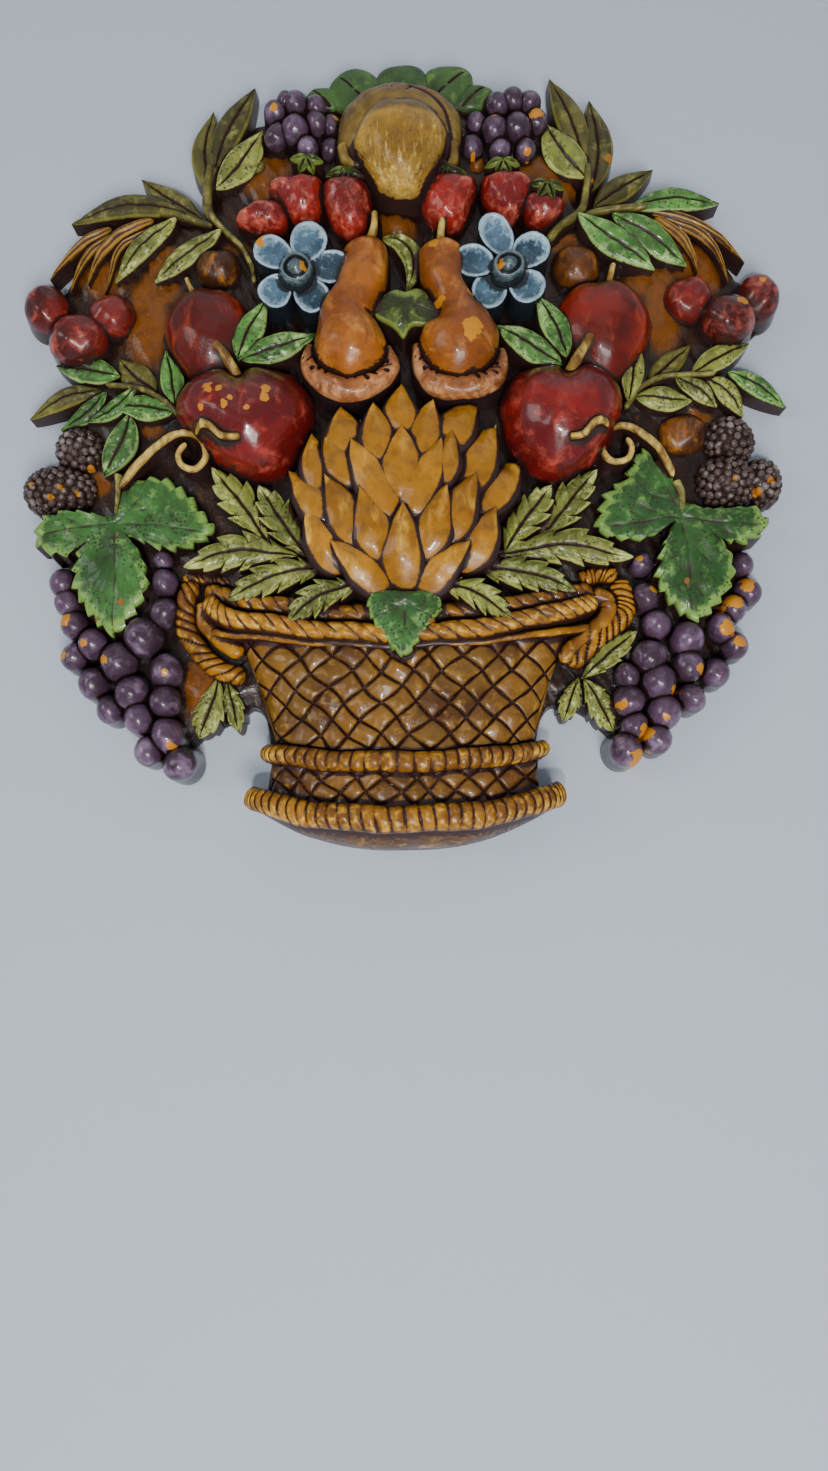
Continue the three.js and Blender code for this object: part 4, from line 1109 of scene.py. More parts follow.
def gather(grid, times=4):
    """Splits every panel of a form into times x times points by straight-line blending and
    keeps the highest one in each cell."""
    closed = np.concatenate([grid, grid[:, :1]], axis=1)
    for a in np.linspace(0, 1, times, endpoint=False):
        for b in np.linspace(0, 1, times, endpoint=False):
            rows = between(closed[:-1], closed[1:], a)
            points = between(rows[:, :-1], rows[:, 1:], b).reshape(-1, 3)
            np.maximum.at(heights, cell_of(points[:, 0], points[:, 1]), points[:, 2])


def blur(field, radius):
    """Mean over a square window, from running sums along both axes."""
    size = max(1, int(round(radius / CELL)))
    for axis in (0, 1):
        pad = [(size + 1, size) if k == axis else (0, 0) for k in (0, 1)]
        sums = np.cumsum(np.pad(field, pad, mode="edge"), axis=axis)
        high = np.take(sums, np.arange(2 * size + 1, sums.shape[axis]), axis=axis)
        low = np.take(sums, np.arange(0, sums.shape[axis] - 2 * size - 1), axis=axis)
        field = (high - low) / (2 * size + 1)
    return field


PIECES = {**BASKET, "artichoke": ARTICHOKE, **FRUIT, "gourds": GOURDS, "gourd_lips": LIP_FORMS,
          **MELON, "flower_petals": FLOWER_FORMS, "flower_centres": CENTRE_FORMS, **LEAVES, **STALKS}


def hand_made(grid, floor=6.0):
    """Moves the points a little, as a modeller's fingers do: x and z by about a third of a
    millimetre, and the height by dents that fade towards the foot of the form."""
    x, z, h = grid[..., 0], grid[..., 1], grid[..., 2]
    share = np.clip((h - floor) / 8, 0, 1)
    push_x = 0.35 * np.sin(0.23 * z + 0.09 * x + 1.1) + 0.1 * np.sin(0.61 * z - 0.37 * x)
    push_z = 0.35 * np.sin(0.21 * x - 0.11 * z + 0.4) + 0.1 * np.sin(0.53 * x + 0.47 * z)
    dent = 0.13 * np.sin(0.72 * x + 0.27 * z + 2) * np.sin(0.66 * z - 0.31 * x)
    return np.stack([x + push_x * share, z + push_z * share, h + dent * share], axis=-1)


for forms in PIECES.values():
    for form in forms:
        form["grid"] = hand_made(form["grid"])
        gather(form["grid"])
print("cells filled:", int((heights > 0).sum()), "of", heights.size)

# %% [markdown]
# ## The ground and the back
#
# Behind everything lies the ground that the forms rise from, and behind that the flat back
# with its hanging pocket. Both belong to one surface: rings run out over the ground to its
# edge, round the silhouette, and back across the flat side into the pocket. The silhouette is
# read from the gathered heights, so the back always fits what is in front of it.

# %% Ground, back and pocket
CENTRE = np.array([0.0, 150.0])
AROUND = 720                              # directions that the ground and back are worked out in
TUCK = 1.6                                # the back stays this far inside the outline
GROUND_EDGE = [
    (-50, 50), (-66, 48), (-78, 36), (-92, 42), (-106, 58), (-116, 92), (-124, 128), (-118, 142),
    (-121, 152), (-115, 166), (-124, 196), (-105, 225), (-70, 234), (-66, 252), (-52, 268), (-30, 271),
    (-10, 279), (18, 279), (34, 271), (54, 271), (67, 254), (71.5, 236), (106, 227), (127, 198),
    (117, 166), (125, 152), (125, 128), (119, 92), (106, 56), (92, 42), (78, 34), (70, 46), (52, 50),
    (46, 34), (44, 12), (0, 4), (-44, 12), (-46, 34)]
# swellings of the ground: x, z, half width, half height, lift
SWELLS = [(0, 150, 95, 85, 7), (2, 254, 24, 22, 6), (0, 60, 52, 50, 6), (-90, 190, 9, 20, 3),
          (95, 192, 9, 20, 3), (-49, 246, 12, 9, 3), (54, 246, 10, 8, 3), (0, 224, 9, 8, 6),
          (-70, 57, 11, 14, 3), (-46, 242, 5, 5, 1), (-82, 222, 20, 10, 3), (85, 223, 20, 10, 3),
          (-95, 162, 20, 10, 3), (98, 163, 20, 10, 3), (-56, 106, 16, 18, 5), (58, 107, 16, 18, 5),
          (-70, 247, 6, 10, 2), (70, 248, 6, 10, 2), (-110, 213, 12, 8, 2), (110, 215, 12, 8, 2)]
POCKET = {"x": 7.0, "low": 243.0, "high": 263.0, "depth": 8.0, "slope": 3.0}
POCKET_STEPS = 7                          # directions either side of straight up that it spans


def by_angle(points, middle, angles):
    """Distance from the middle to a closed line of points, at each angle."""
    away = points - middle
    turn = np.arctan2(away[:, 1], away[:, 0])
    order = np.argsort(turn)
    return np.interp(angles, turn[order], np.linalg.norm(away, axis=1)[order], period=TAU)


def ground_height(x, z):
    """6.5 mm with soft swellings added, each its lift times a bell curve, and a ripple."""
    h = 6.5 + 0 * x
    for sx, sz, across, high, lift in SWELLS:
        h = h + lift * np.exp(-((x - sx) / across) ** 2 - ((z - sz) / high) ** 2)
    ripple = 0.35 * np.sin(0.5 * x + 1.7) * np.sin(0.43 * z) + 0.2 * np.sin(1.3 * x + 0.7 * z)
    return h + ripple


angles = np.linspace(-np.pi, np.pi, AROUND, endpoint=False)
heading = np.stack([np.cos(angles), np.sin(angles)], axis=1)
ground_reach = by_angle(even_outline(GROUND_EDGE, 1500)[0], CENTRE, angles)
steps_out = np.arange(20, 175, CELL / 2)
probe = CENTRE + steps_out[:, None, None] * heading
solid = heights[cell_of(probe[..., 0], probe[..., 1])] > 0
solid |= steps_out[:, None] < ground_reach
first_gap = np.where(solid.all(axis=0), len(steps_out) - 1, np.argmin(solid, axis=0))
silhouette = steps_out[first_gap] - TUCK
calm = np.ones(5) / 5
silhouette = np.convolve(np.pad(silhouette, 2, mode="wrap"), calm, mode="valid")
silhouette = np.maximum(silhouette, ground_reach + 0.4)


def flat_back(reach):
    """Rings over the flat back from the silhouette to the centre. Near the top they run
    straight across instead of round, so that they can follow the edges of the hanging pocket,
    and the points inside the pocket are lifted by its depth. Its roof slopes upwards."""
    low, high = POCKET["low"] - CENTRE[1], POCKET["high"] - CENTRE[1]
    near = np.clip((np.radians(12) - np.abs(angles - TAU / 4)) / np.radians(4), 0, 1)
    straight_x = np.clip(0.5 * (low + high) * np.cos(angles), -20, 20)
    step = np.round((angles - TAU / 4) / (TAU / AROUND))
    inside = np.abs(step) <= POCKET_STEPS
    side = np.where(inside, POCKET["x"] - 0.02, POCKET["x"] + 0.02)
    beside_edge = (np.abs(step) == POCKET_STEPS) | (np.abs(step) == POCKET_STEPS + 1)
    straight_x = np.where(beside_edge, -np.sign(step) * side, straight_x)
    made = []
    for stop in (high + 7, high + 0.02, high - 0.02, low + 0.02, low - 0.02, 60.0, 25.0):
        pocket = (low < stop < high) * inside
        round_ring = (stop / (DRAWN_HEIGHT - CENTRE[1] - 2) * reach)[:, None] * heading
        lift = POCKET["slope"] * pocket * (stop > 100)
        straight_ring = np.stack([straight_x, stop + lift], axis=1)
        use = (near * (stop > 70))[:, None]
        ring = CENTRE + between(round_ring, straight_ring, use)
        made.append(np.column_stack([ring, POCKET["depth"] * pocket])[None])
    return made


shares = np.linspace(0, 1, 70)[1:] ** 0.9
front = CENTRE + shares[:, None, None] * ground_reach[None, :, None] * heading
rolled = 2.5 * np.clip(shares[:, None] - 0.94, 0, 1) / 0.06
front_h = ground_height(front[..., 0], front[..., 1]) - rolled
outer = CENTRE + silhouette[:, None] * heading
rings = [np.concatenate([front, front_h[..., None]], axis=-1)]
for push, h in ((0.0, 3.0), (0.5, 1.6), (0.3, 0.3), (-0.2, 0.0)):
    rings.append(np.column_stack([outer + push * heading, np.full(AROUND, h)])[None])
rings += flat_back(silhouette)
ground_grid = np.concatenate(rings)
gather(ground_grid[:len(front)])

# soft patches of ochre: x, z, half width, half height
OCHRE = [(-90, 190, 9, 18), (-87, 203, 10, 7), (96, 192, 8, 19), (92, 204, 11, 7), (-106, 208, 9, 9),
         (-113, 218, 8, 6), (108, 210, 9, 9), (-60, 218, 7, 5), (62, 218, 7, 5), (-98, 215, 7, 8),
         (100, 218, 7, 7), (-60, 180, 5, 10), (-49, 247, 14, 9), (55, 247, 12, 9), (0, 223, 8, 8),
         (-70, 58, 9, 13), (-120, 211, 7, 7), (123, 214, 7, 8), (104, 152, 9, 5), (-46, 238, 7, 5),
         (-90, 152, 8, 5), (-84, 214, 7, 6), (-67, 64, 9, 7), (62, 240, 6, 5), (-108, 132, 6, 5),
         (114, 205, 5, 6)]
patch = 0 * ground_grid[..., 0]
for x, z, across, high in OCHRE:
    far = ((ground_grid[..., 0] - x) / across) ** 2 + ((ground_grid[..., 1] - z) / high) ** 2
    patch = np.maximum(patch, np.exp(-far**1.5))
PIECES["ground_and_back"] = [{"grid": ground_grid, "ink": -0.75 * patch, "tint": patch}]
print("silhouette reach", round(silhouette.min(), 1), "to", round(silhouette.max(), 1), "mm")

# %% [markdown]
# ## From grids to meshes
#
# A piece joins its forms into one mesh. Every form is closed: its rings meet themselves, and
# a fan of triangles shuts each end. If a form's signed volume comes out negative its faces are
# turned, so all of them look outwards. The painter's masks go on the points: how deep the
# point lies (*cavity*), how proud (*crest*), the second colour (*tint*), where paint has come
# off (*chip*) and a number that differs from form to form (*lot*).

# %% Depth masks
OUTSIDE = 9.0                             # what lies beyond the silhouette counts this high
filled = np.where(heights > 0, heights, OUTSIDE)
near_mean = blur(blur(filled, 0.8), 0.8)
wide_mean = blur(blur(filled, 3.0), 3.0)
# where paint has come off: x, z, radius
CHIPS = [
    (-64, 157, 1.9), (-60, 156.5, 1.3), (-66.5, 150.5, 1.2), (-58, 150.5, 1.5), (-56, 152.5, 1.1),
    (-44.5, 156, 1.5), (-50.5, 149, 1.2), (-44.6, 152.5, 1.5), (-43.7, 268.5, 1.3), (-21, 265.5, 1.1),
    (52, 265.5, 2.3), (36, 263.5, 1.2), (56, 271, 1.7), (25.5, 176, 3.0), (24.5, 172.6, 2.0),
    (13, 209, 1.6), (122.5, 192.5, 2.2), (131, 201, 1.3), (-48, 214.5, 2.8), (-47, 211.5, 1.4),
    (25.5, 191.5, 1.2), (116.5, 85, 3.0), (113.5, 75.5, 3.0), (122, 91.5, 2.6), (118.5, 71, 2.0),
    (112.5, 83, 1.4), (103, 61, 1.6), (81.5, 29.5, 4.0), (83.5, 39.5, 2.6), (-117.5, 82, 2.2),
    (-102.5, 67, 1.7), (-110, 73, 1.4), (-118, 69.5, 1.5), (-81, 62, 1.3), (-79, 37, 1.4),
    (94.5, 54, 1.8), (90, 44.5, 1.5), (75.5, 49, 1.6), (83, 100, 1.2), (88, 89, 1.6), (15, 188, 1.8),
    (10.8, 76, 1.2), (-98.5, 111, 0.9), (-105.5, 81, 1.1), (-96.5, 87, 1.2), (99, 91.5, 1.1),
    (-129, 130, 1.1), (-118, 128, 1.2), (-113, 126, 1.0), (-122, 125, 1.0), (126.5, 124.5, 1.8),
    (117, 127.5, 1.0), (131.5, 128.5, 1.3), (-110, 137, 1.1), (78.5, 251, 1.6), (72, 242, 1.2),
    (47.8, 250.5, 1.2), (28.5, 250.5, 1.0), (-31.6, 199.6, 1.1), (-32.2, 201.8, 0.8), (35.8, 199.6, 1.1),
    (36.3, 201.8, 0.8)]


def masks_of(grid, ink):
    """cavity: below the near or the wide mean, or in a cut line. crest: above the wide mean."""
    x, z, h = grid[..., 0], grid[..., 1], grid[..., 2]
    cell = cell_of(x, z)
    near_depth = np.clip((near_mean[cell] - h - 0.05) / 1.0, 0, 1)
    wide_depth = np.clip((wide_mean[cell] - h - 0.8) / 6.0, 0, 1)
    cavity = np.clip(0.9 * near_depth + 0.8 * wide_depth + ink, 0, 1)
    crest = np.clip((h - wide_mean[cell]) / 4.0, 0, 1) * (1 - cavity)
    chip = 0 * x
    for cx, cz, radius in CHIPS:
        chip = np.maximum(chip, 1 - np.hypot(x - cx, z - cz) / (2 * radius))
    return cavity, crest, chip


# %% Build the pieces
def close_form(grid):
    """Points, triangle and quad corners of one closed form; the two end points are the means
    of the first and last ring."""
    m, n = grid.shape[:2]
    points = np.concatenate([grid.reshape(-1, 3), grid[:1].mean(axis=1), grid[-1:].mean(axis=1)])
    i, j = np.meshgrid(np.arange(m - 1), np.arange(n), indexing="ij")
    k = (j + 1) % n
    quads = np.stack([i * n + j, i * n + k, (i + 1) * n + k, (i + 1) * n + j], axis=-1).reshape(-1, 4)
    around = np.arange(n)
    after = (around + 1) % n
    first = np.stack([after, around, np.full(n, m * n)], axis=1)
    last = np.stack([(m - 1) * n + around, (m - 1) * n + after, np.full(n, m * n + 1)], axis=1)
    triangles = np.concatenate([first, last])
    split = np.concatenate([quads[:, :3], quads[:, [0, 2, 3]], triangles])
    a, b, c = (points[split[:, k]] for k in range(3))
    inward = np.einsum("ij,ij->i", a, np.cross(b, c)).sum() < 0
    return points, quads[:, ::-1] if inward else quads, triangles[:, ::-1] if inward else triangles


def make_piece(name, forms, material, sharp_deg=48.0):
    """Joins forms into one mesh object at the origin that stands for the casting."""
    seeded = np.random.default_rng(len(name) * 101 + len(forms))
    lots = seeded.random(len(forms))
    points, quads, triangles, values = [], [], [], []
    base = 0
    for form, lot in zip(forms, lots):
        grid = form["grid"]
        local = to_frame(grid[..., 0], grid[..., 1], grid[..., 2])
        p, q, t = close_form(local)
        cavity, crest, chip = masks_of(grid, form["ink"])
        layers = np.stack([cavity, crest, form["tint"] + 0 * cavity, chip], axis=-1)
        flat_layers = np.concatenate([layers.reshape(-1, 4), layers[:1].mean(axis=1),
                                      layers[-1:].mean(axis=1)])
        points.append(p)
        quads.append(q + base)
        triangles.append(t + base)
        values.append(np.column_stack([flat_layers, np.full(len(p), lot)]))
        base += len(p)
    points, quads, triangles, values = map(np.concatenate, (points, quads, triangles, values))
    corners = np.concatenate([quads.ravel(), triangles.ravel()]).astype(np.int32)
    starts = np.concatenate([np.arange(len(quads)) * 4, len(quads) * 4 + np.arange(len(triangles)) * 3])
    mesh = bpy.data.meshes.new(name)
    mesh.vertices.add(len(points))
    mesh.vertices.foreach_set("co", points.astype(np.float32).ravel())
    mesh.loops.add(len(corners))
    mesh.loops.foreach_set("vertex_index", corners)
    mesh.polygons.add(len(starts))
    mesh.polygons.foreach_set("loop_start", starts.astype(np.int32))
    mesh.update(calc_edges=True)
    mesh.shade_smooth()
    mesh.set_sharp_from_angle(angle=np.radians(sharp_deg))
    for k, label in enumerate(("cavity", "crest", "tint", "chip", "lot")):
        attribute = mesh.attributes.new(label, "FLOAT", "POINT")
        attribute.data.foreach_set("value", values[:, k].astype(np.float32))
    mesh.materials.append(material)
    piece = bpy.data.objects.new(name, mesh)
    bpy.context.scene.collection.objects.link(piece)
    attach(piece, "root")
    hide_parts("plaque")
    return piece, 2 * len(quads) + len(triangles)


# %% [markdown]
# ## The painter's tools
#
# Four effects are shared by all the paints, so each is a node group that is built once. The
# **brushed paint** lays three tones of one colour in uneven strokes. The **antique glaze** is
# the dark wash left in every recess. **Worn spots** are chips and flecks where the ochre
# primer shows. The **hand-made surface** gives a height for the bump: brush marks and the
# slight unevenness of plaster.

# %% Node helpers
PER_MM = 0.001 / MM                       # patterns keep their size in drawn millimetres


def put(tree, kind, inputs=None, **settings):
    """Adds a node, sets its options, and links or fills its inputs."""
    made = tree.nodes.new(kind)
    for key, value in settings.items():
        setattr(made, key, value)
    for key, value in (inputs or {}).items():
        if isinstance(value, bpy.types.NodeSocket):
            tree.links.new(value, made.inputs[key])
        else:
            made.inputs[key].default_value = value
    return made


def calc(tree, operation, a, b=0.0, clamp=False):
    """One step of arithmetic."""
    return put(tree, "ShaderNodeMath", {0: a, 1: b}, operation=operation, use_clamp=clamp).outputs[0]


def ramp(tree, value, low, high, to_low=0.0, to_high=1.0):
    """A soft step from to_low to to_high while the value goes from low to high."""
    return put(tree, "ShaderNodeMapRange", {0: value, 1: low, 2: high, 3: to_low, 4: to_high},
               interpolation_type="SMOOTHSTEP").outputs[0]


def plus(tree, value, other, amount):
    """value + amount * other."""
    return calc(tree, "ADD", value, calc(tree, "MULTIPLY", other, amount))


def swing(tree, value, pattern, amount):
    """value + amount * (pattern - 0.5), so that the pattern pushes it both ways."""
    return plus(tree, value, calc(tree, "SUBTRACT", pattern, 0.5), amount)


def mix(tree, share, a, b):
    """Colour a where the share is 0, colour b where it is 1."""
    return put(tree, "ShaderNodeMix", {0: share, 6: a, 7: b}, data_type="RGBA").outputs[2]


def noise(tree, where, per_metre, detail=3.0, roughness=0.55, distortion=0.0):
    """Cloudy noise round 0.5, with this many lumps to the metre."""
    inputs = {"Vector": where, "Scale": per_metre, "Detail": detail, "Roughness": roughness,
              "Distortion": distortion}
    return put(tree, "ShaderNodeTexNoise", inputs).outputs[0]


def new_group(name, inputs, outputs):
    """A node group with (label, kind, value) inputs and (label, kind) outputs. Returns it with
    the sockets that its values come in by and go out by."""
    group = bpy.data.node_groups.new(name, "ShaderNodeTree")
    for label, kind, value in inputs:
        socket = group.interface.new_socket(label, in_out="INPUT", socket_type="NodeSocket" + kind)
        socket.default_value = value
    for label, kind in outputs:
        group.interface.new_socket(label, in_out="OUTPUT", socket_type="NodeSocket" + kind)
    given = group.nodes.new("NodeGroupInput").outputs
    return group, given, group.nodes.new("NodeGroupOutput").inputs


def here(tree, stretch=(1.0, 1.0, 1.0)):
    """Object coordinates, squeezed along an axis where strokes should run long."""
    coordinates = tree.nodes.new("ShaderNodeTexCoord").outputs["Object"]
    return put(tree, "ShaderNodeVectorMath", {0: coordinates, 1: stretch},
               operation="MULTIPLY").outputs[0]


GREY = (0.5, 0.5, 0.5, 1.0)

# %% Brushed paint
brushed, given, result = new_group(
    "Brushed paint",
    [("Base", "Color", GREY), ("Light", "Color", GREY), ("Dark", "Color", GREY),
     ("Crest", "Float", 0.0), ("Lot", "Float", 0.5), ("Stroke size mm", "Float", 6.0),
     ("Stretch", "Vector", (1.0, 1.0, 1.0))],
    [("Color", "Color"), ("Stroke", "Float")])
per_metre = calc(brushed, "DIVIDE", 1000.0 * PER_MM, given["Stroke size mm"])
stroke = noise(brushed, here(brushed, given["Stretch"]), per_metre, 5.0, 0.62, 0.6)
broad = noise(brushed, here(brushed), 55.0 * PER_MM, 2.0)
toward_dark = ramp(brushed, plus(brushed, broad, given["Lot"], 0.2), 0.40, 0.72)
toward_light = ramp(brushed, plus(brushed, stroke, given["Crest"], 0.22), 0.52, 0.86)
tone = mix(brushed, toward_dark, given["Base"], given["Dark"])
brushed.links.new(mix(brushed, toward_light, tone, given["Light"]), result["Color"])
brushed.links.new(stroke, result["Stroke"])

# %% Antique glaze
glazing, given, result = new_group(
    "Antique glaze",
    [("Color", "Color", GREY), ("Glaze", "Color", GREY), ("Cavity", "Float", 0.0)],
    [("Color", "Color"), ("Mask", "Float")])
cloud = noise(glazing, here(glazing), 240.0 * PER_MM, 4.0, 0.6)
covered = ramp(glazing, swing(glazing, given["Cavity"], cloud, 0.55), 0.18, 0.62)
veil = calc(glazing, "MAXIMUM", covered, ramp(glazing, cloud, 0.42, 0.72, 0.05, 0.4))
glazing.links.new(mix(glazing, veil, given["Color"], given["Glaze"]), result["Color"])
glazing.links.new(covered, result["Mask"])

# %% Worn spots
wearing, given, result = new_group(
    "Worn spots",
    [("Color", "Color", GREY), ("Primer", "Color", GREY), ("Chip", "Float", 0.0),
     ("Crest", "Float", 0.0), ("Flecks", "Float", 0.0), ("Specks", "Float", 0.0),
     ("Speck", "Color", (0.02, 0.012, 0.01, 1.0))],
    [("Color", "Color"), ("Mask", "Float")])
ragged = noise(wearing, here(wearing), 330.0 * PER_MM, 3.0, 0.6)
chipped = ramp(wearing, swing(wearing, given["Chip"], ragged, 1.1), 0.46, 0.52)
fleck = noise(wearing, here(wearing), 190.0 * PER_MM, 5.0, 0.7)
rubbed = ramp(wearing, plus(wearing, fleck, given["Crest"], 0.06), 0.70, 0.74)
bare = calc(wearing, "MAXIMUM", chipped, calc(wearing, "MULTIPLY", rubbed, given["Flecks"]))
dots = put(wearing, "ShaderNodeTexVoronoi", {"Vector": here(wearing), "Scale": 760.0 * PER_MM},
           feature="F1").outputs["Distance"]
crowd = ramp(wearing, noise(wearing, here(wearing), 130.0 * PER_MM, 2.0), 0.40, 0.58)
dotted = calc(wearing, "MULTIPLY", ramp(wearing, dots, 0.40, 0.22), crowd)
dotted = calc(wearing, "MULTIPLY", dotted, given["Specks"])
dirty = mix(wearing, dotted, given["Color"], given["Speck"])
wearing.links.new(mix(wearing, bare, dirty, given["Primer"]), result["Color"])
wearing.links.new(bare, result["Mask"])

# %% Hand-made surface
handmade, given, result = new_group(
    "Hand-made surface",
    [("Stroke", "Float", 0.5), ("Cavity", "Float", 0.0), ("Bare", "Float", 0.0)],
    [("Height", "Float"), ("Roughness shift", "Float")])
lumps = noise(handmade, here(handmade), 130.0 * PER_MM, 2.5, 0.5)
grit = noise(handmade, here(handmade), 900.0 * PER_MM, 2.0, 0.6)
height = plus(handmade, lumps, given["Stroke"], 0.3)
height = plus(handmade, height, grit, 0.25)
handmade.links.new(plus(handmade, height, given["Bare"], -0.5), result["Height"])
shift = plus(handmade, calc(handmade, "MULTIPLY", given["Cavity"], 0.12), given["Stroke"], -0.16)
handmade.links.new(plus(handmade, shift, given["Bare"], 0.25), result["Roughness shift"])
print("node groups:", [group.name for group in bpy.data.node_groups])

# %% [markdown]
# ## The paints
#
# One function mixes every paint from its colours, so that all of them share the glaze, the
# wear and the satin varnish. Colours are given as they look on a screen, from 0 to 255, and
# turned into the linear values that light calculations need.

# %% Mixing a paint
GLAZE = (48, 28, 26)
PRIMER = (188, 122, 16)
BUMP_MM = 0.9                             # a bump of strength 1 stands this high
COAT_ROUGHNESS = 0.09
SPECULAR = 0.25
MEAN_SHIFT = 0.08                         # what brush marks take off the roughness on average


def screen(red, green, blue):
    """Screen colour 0-255 to linear: ((c + 0.055) / 1.055)^2.4, or c / 12.92 when very dark."""
    c = np.array([red, green, blue]) / 255.0
    linear = np.where(c > 0.04045, ((c + 0.055) / 1.055) ** 2.4, c / 12.92)
    return (*linear, 1.0)


def attribute(tree, name):
    """A mask that lies on the points of a piece."""
    return put(tree, "ShaderNodeAttribute", attribute_name=name).outputs["Fac"]


def paint(name, base, light, dark, second=None, second_share=1.0, stroke=6.0,
          stretch=(1, 1, 1), glaze=GLAZE, flecks=0.0, specks=0.0, roughness=0.42, coat=0.24,
          bump=0.45, primer=PRIMER, back=None):
    """A paint: brushed tones, a second colour by the tint mask, glaze, wear, then varnish.
    back is two tones of bare plaster, for what lies against the wall."""
    material = bpy.data.materials.new(name)
    material.use_nodes = True
    tree = material.node_tree
    tree.nodes.clear()
    masks = ("cavity", "crest", "tint", "chip", "lot")
    cavity, crest, tint, chip, lot = (attribute(tree, key) for key in masks)
    brush = put(tree, "ShaderNodeGroup",
                {"Base": screen(*base), "Light": screen(*light), "Dark": screen(*dark),
                 "Crest": crest, "Lot": lot, "Stroke size mm": stroke, "Stretch": stretch},
                node_tree=brushed)
    colour, marks = brush.outputs["Color"], brush.outputs["Stroke"]
    if second:
        share = ramp(tree, swing(tree, tint, marks, 0.7), 0.25, 0.85, 0.0, second_share)
        colour = mix(tree, share, colour, screen(*second))
    wash = put(tree, "ShaderNodeGroup",
               {"Color": colour, "Glaze": screen(*glaze), "Cavity": cavity}, node_tree=glazing)
    wear = put(tree, "ShaderNodeGroup",
               {"Color": wash.outputs["Color"], "Primer": screen(*primer), "Chip": chip,
                "Crest": crest, "Flecks": flecks, "Specks": specks}, node_tree=wearing)
    colour = wear.outputs["Color"]
    if back:
        depth = put(tree, "ShaderNodeSeparateXYZ", {0: here(tree)}).outputs[1]
        behind = ramp(tree, depth, BACK_Y - 1.4 * MM, BACK_Y - 0.4 * MM)
        plaster_tone = noise(tree, here(tree), 40.0 * PER_MM, 4.0, 0.6)
        plaster = mix(tree, ramp(tree, plaster_tone, 0.4, 0.65), screen(*back[0]), screen(*back[1]))
        colour = mix(tree, behind, colour, plaster)
    skin = put(tree, "ShaderNodeGroup",
               {"Stroke": marks, "Cavity": wash.outputs["Mask"], "Bare": wear.outputs["Mask"]},
               node_tree=handmade)
    relief = put(tree, "ShaderNodeBump",
                 {"Strength": bump, "Distance": BUMP_MM * MM, "Height": skin.outputs["Height"]})
    shine = calc(tree, "ADD", skin.outputs["Roughness shift"], roughness + MEAN_SHIFT, clamp=True)
    shader = put(tree, "ShaderNodeBsdfPrincipled",
                 {"Base Color": colour, "Roughness": shine, "Coat Weight": coat,
                  "Coat Roughness": COAT_ROUGHNESS, "Specular IOR Level": SPECULAR,
                  "Normal": relief.outputs["Normal"]})
    output = tree.nodes.new("ShaderNodeOutputMaterial")
    tree.links.new(shader.outputs["BSDF"], output.inputs["Surface"])
    return material


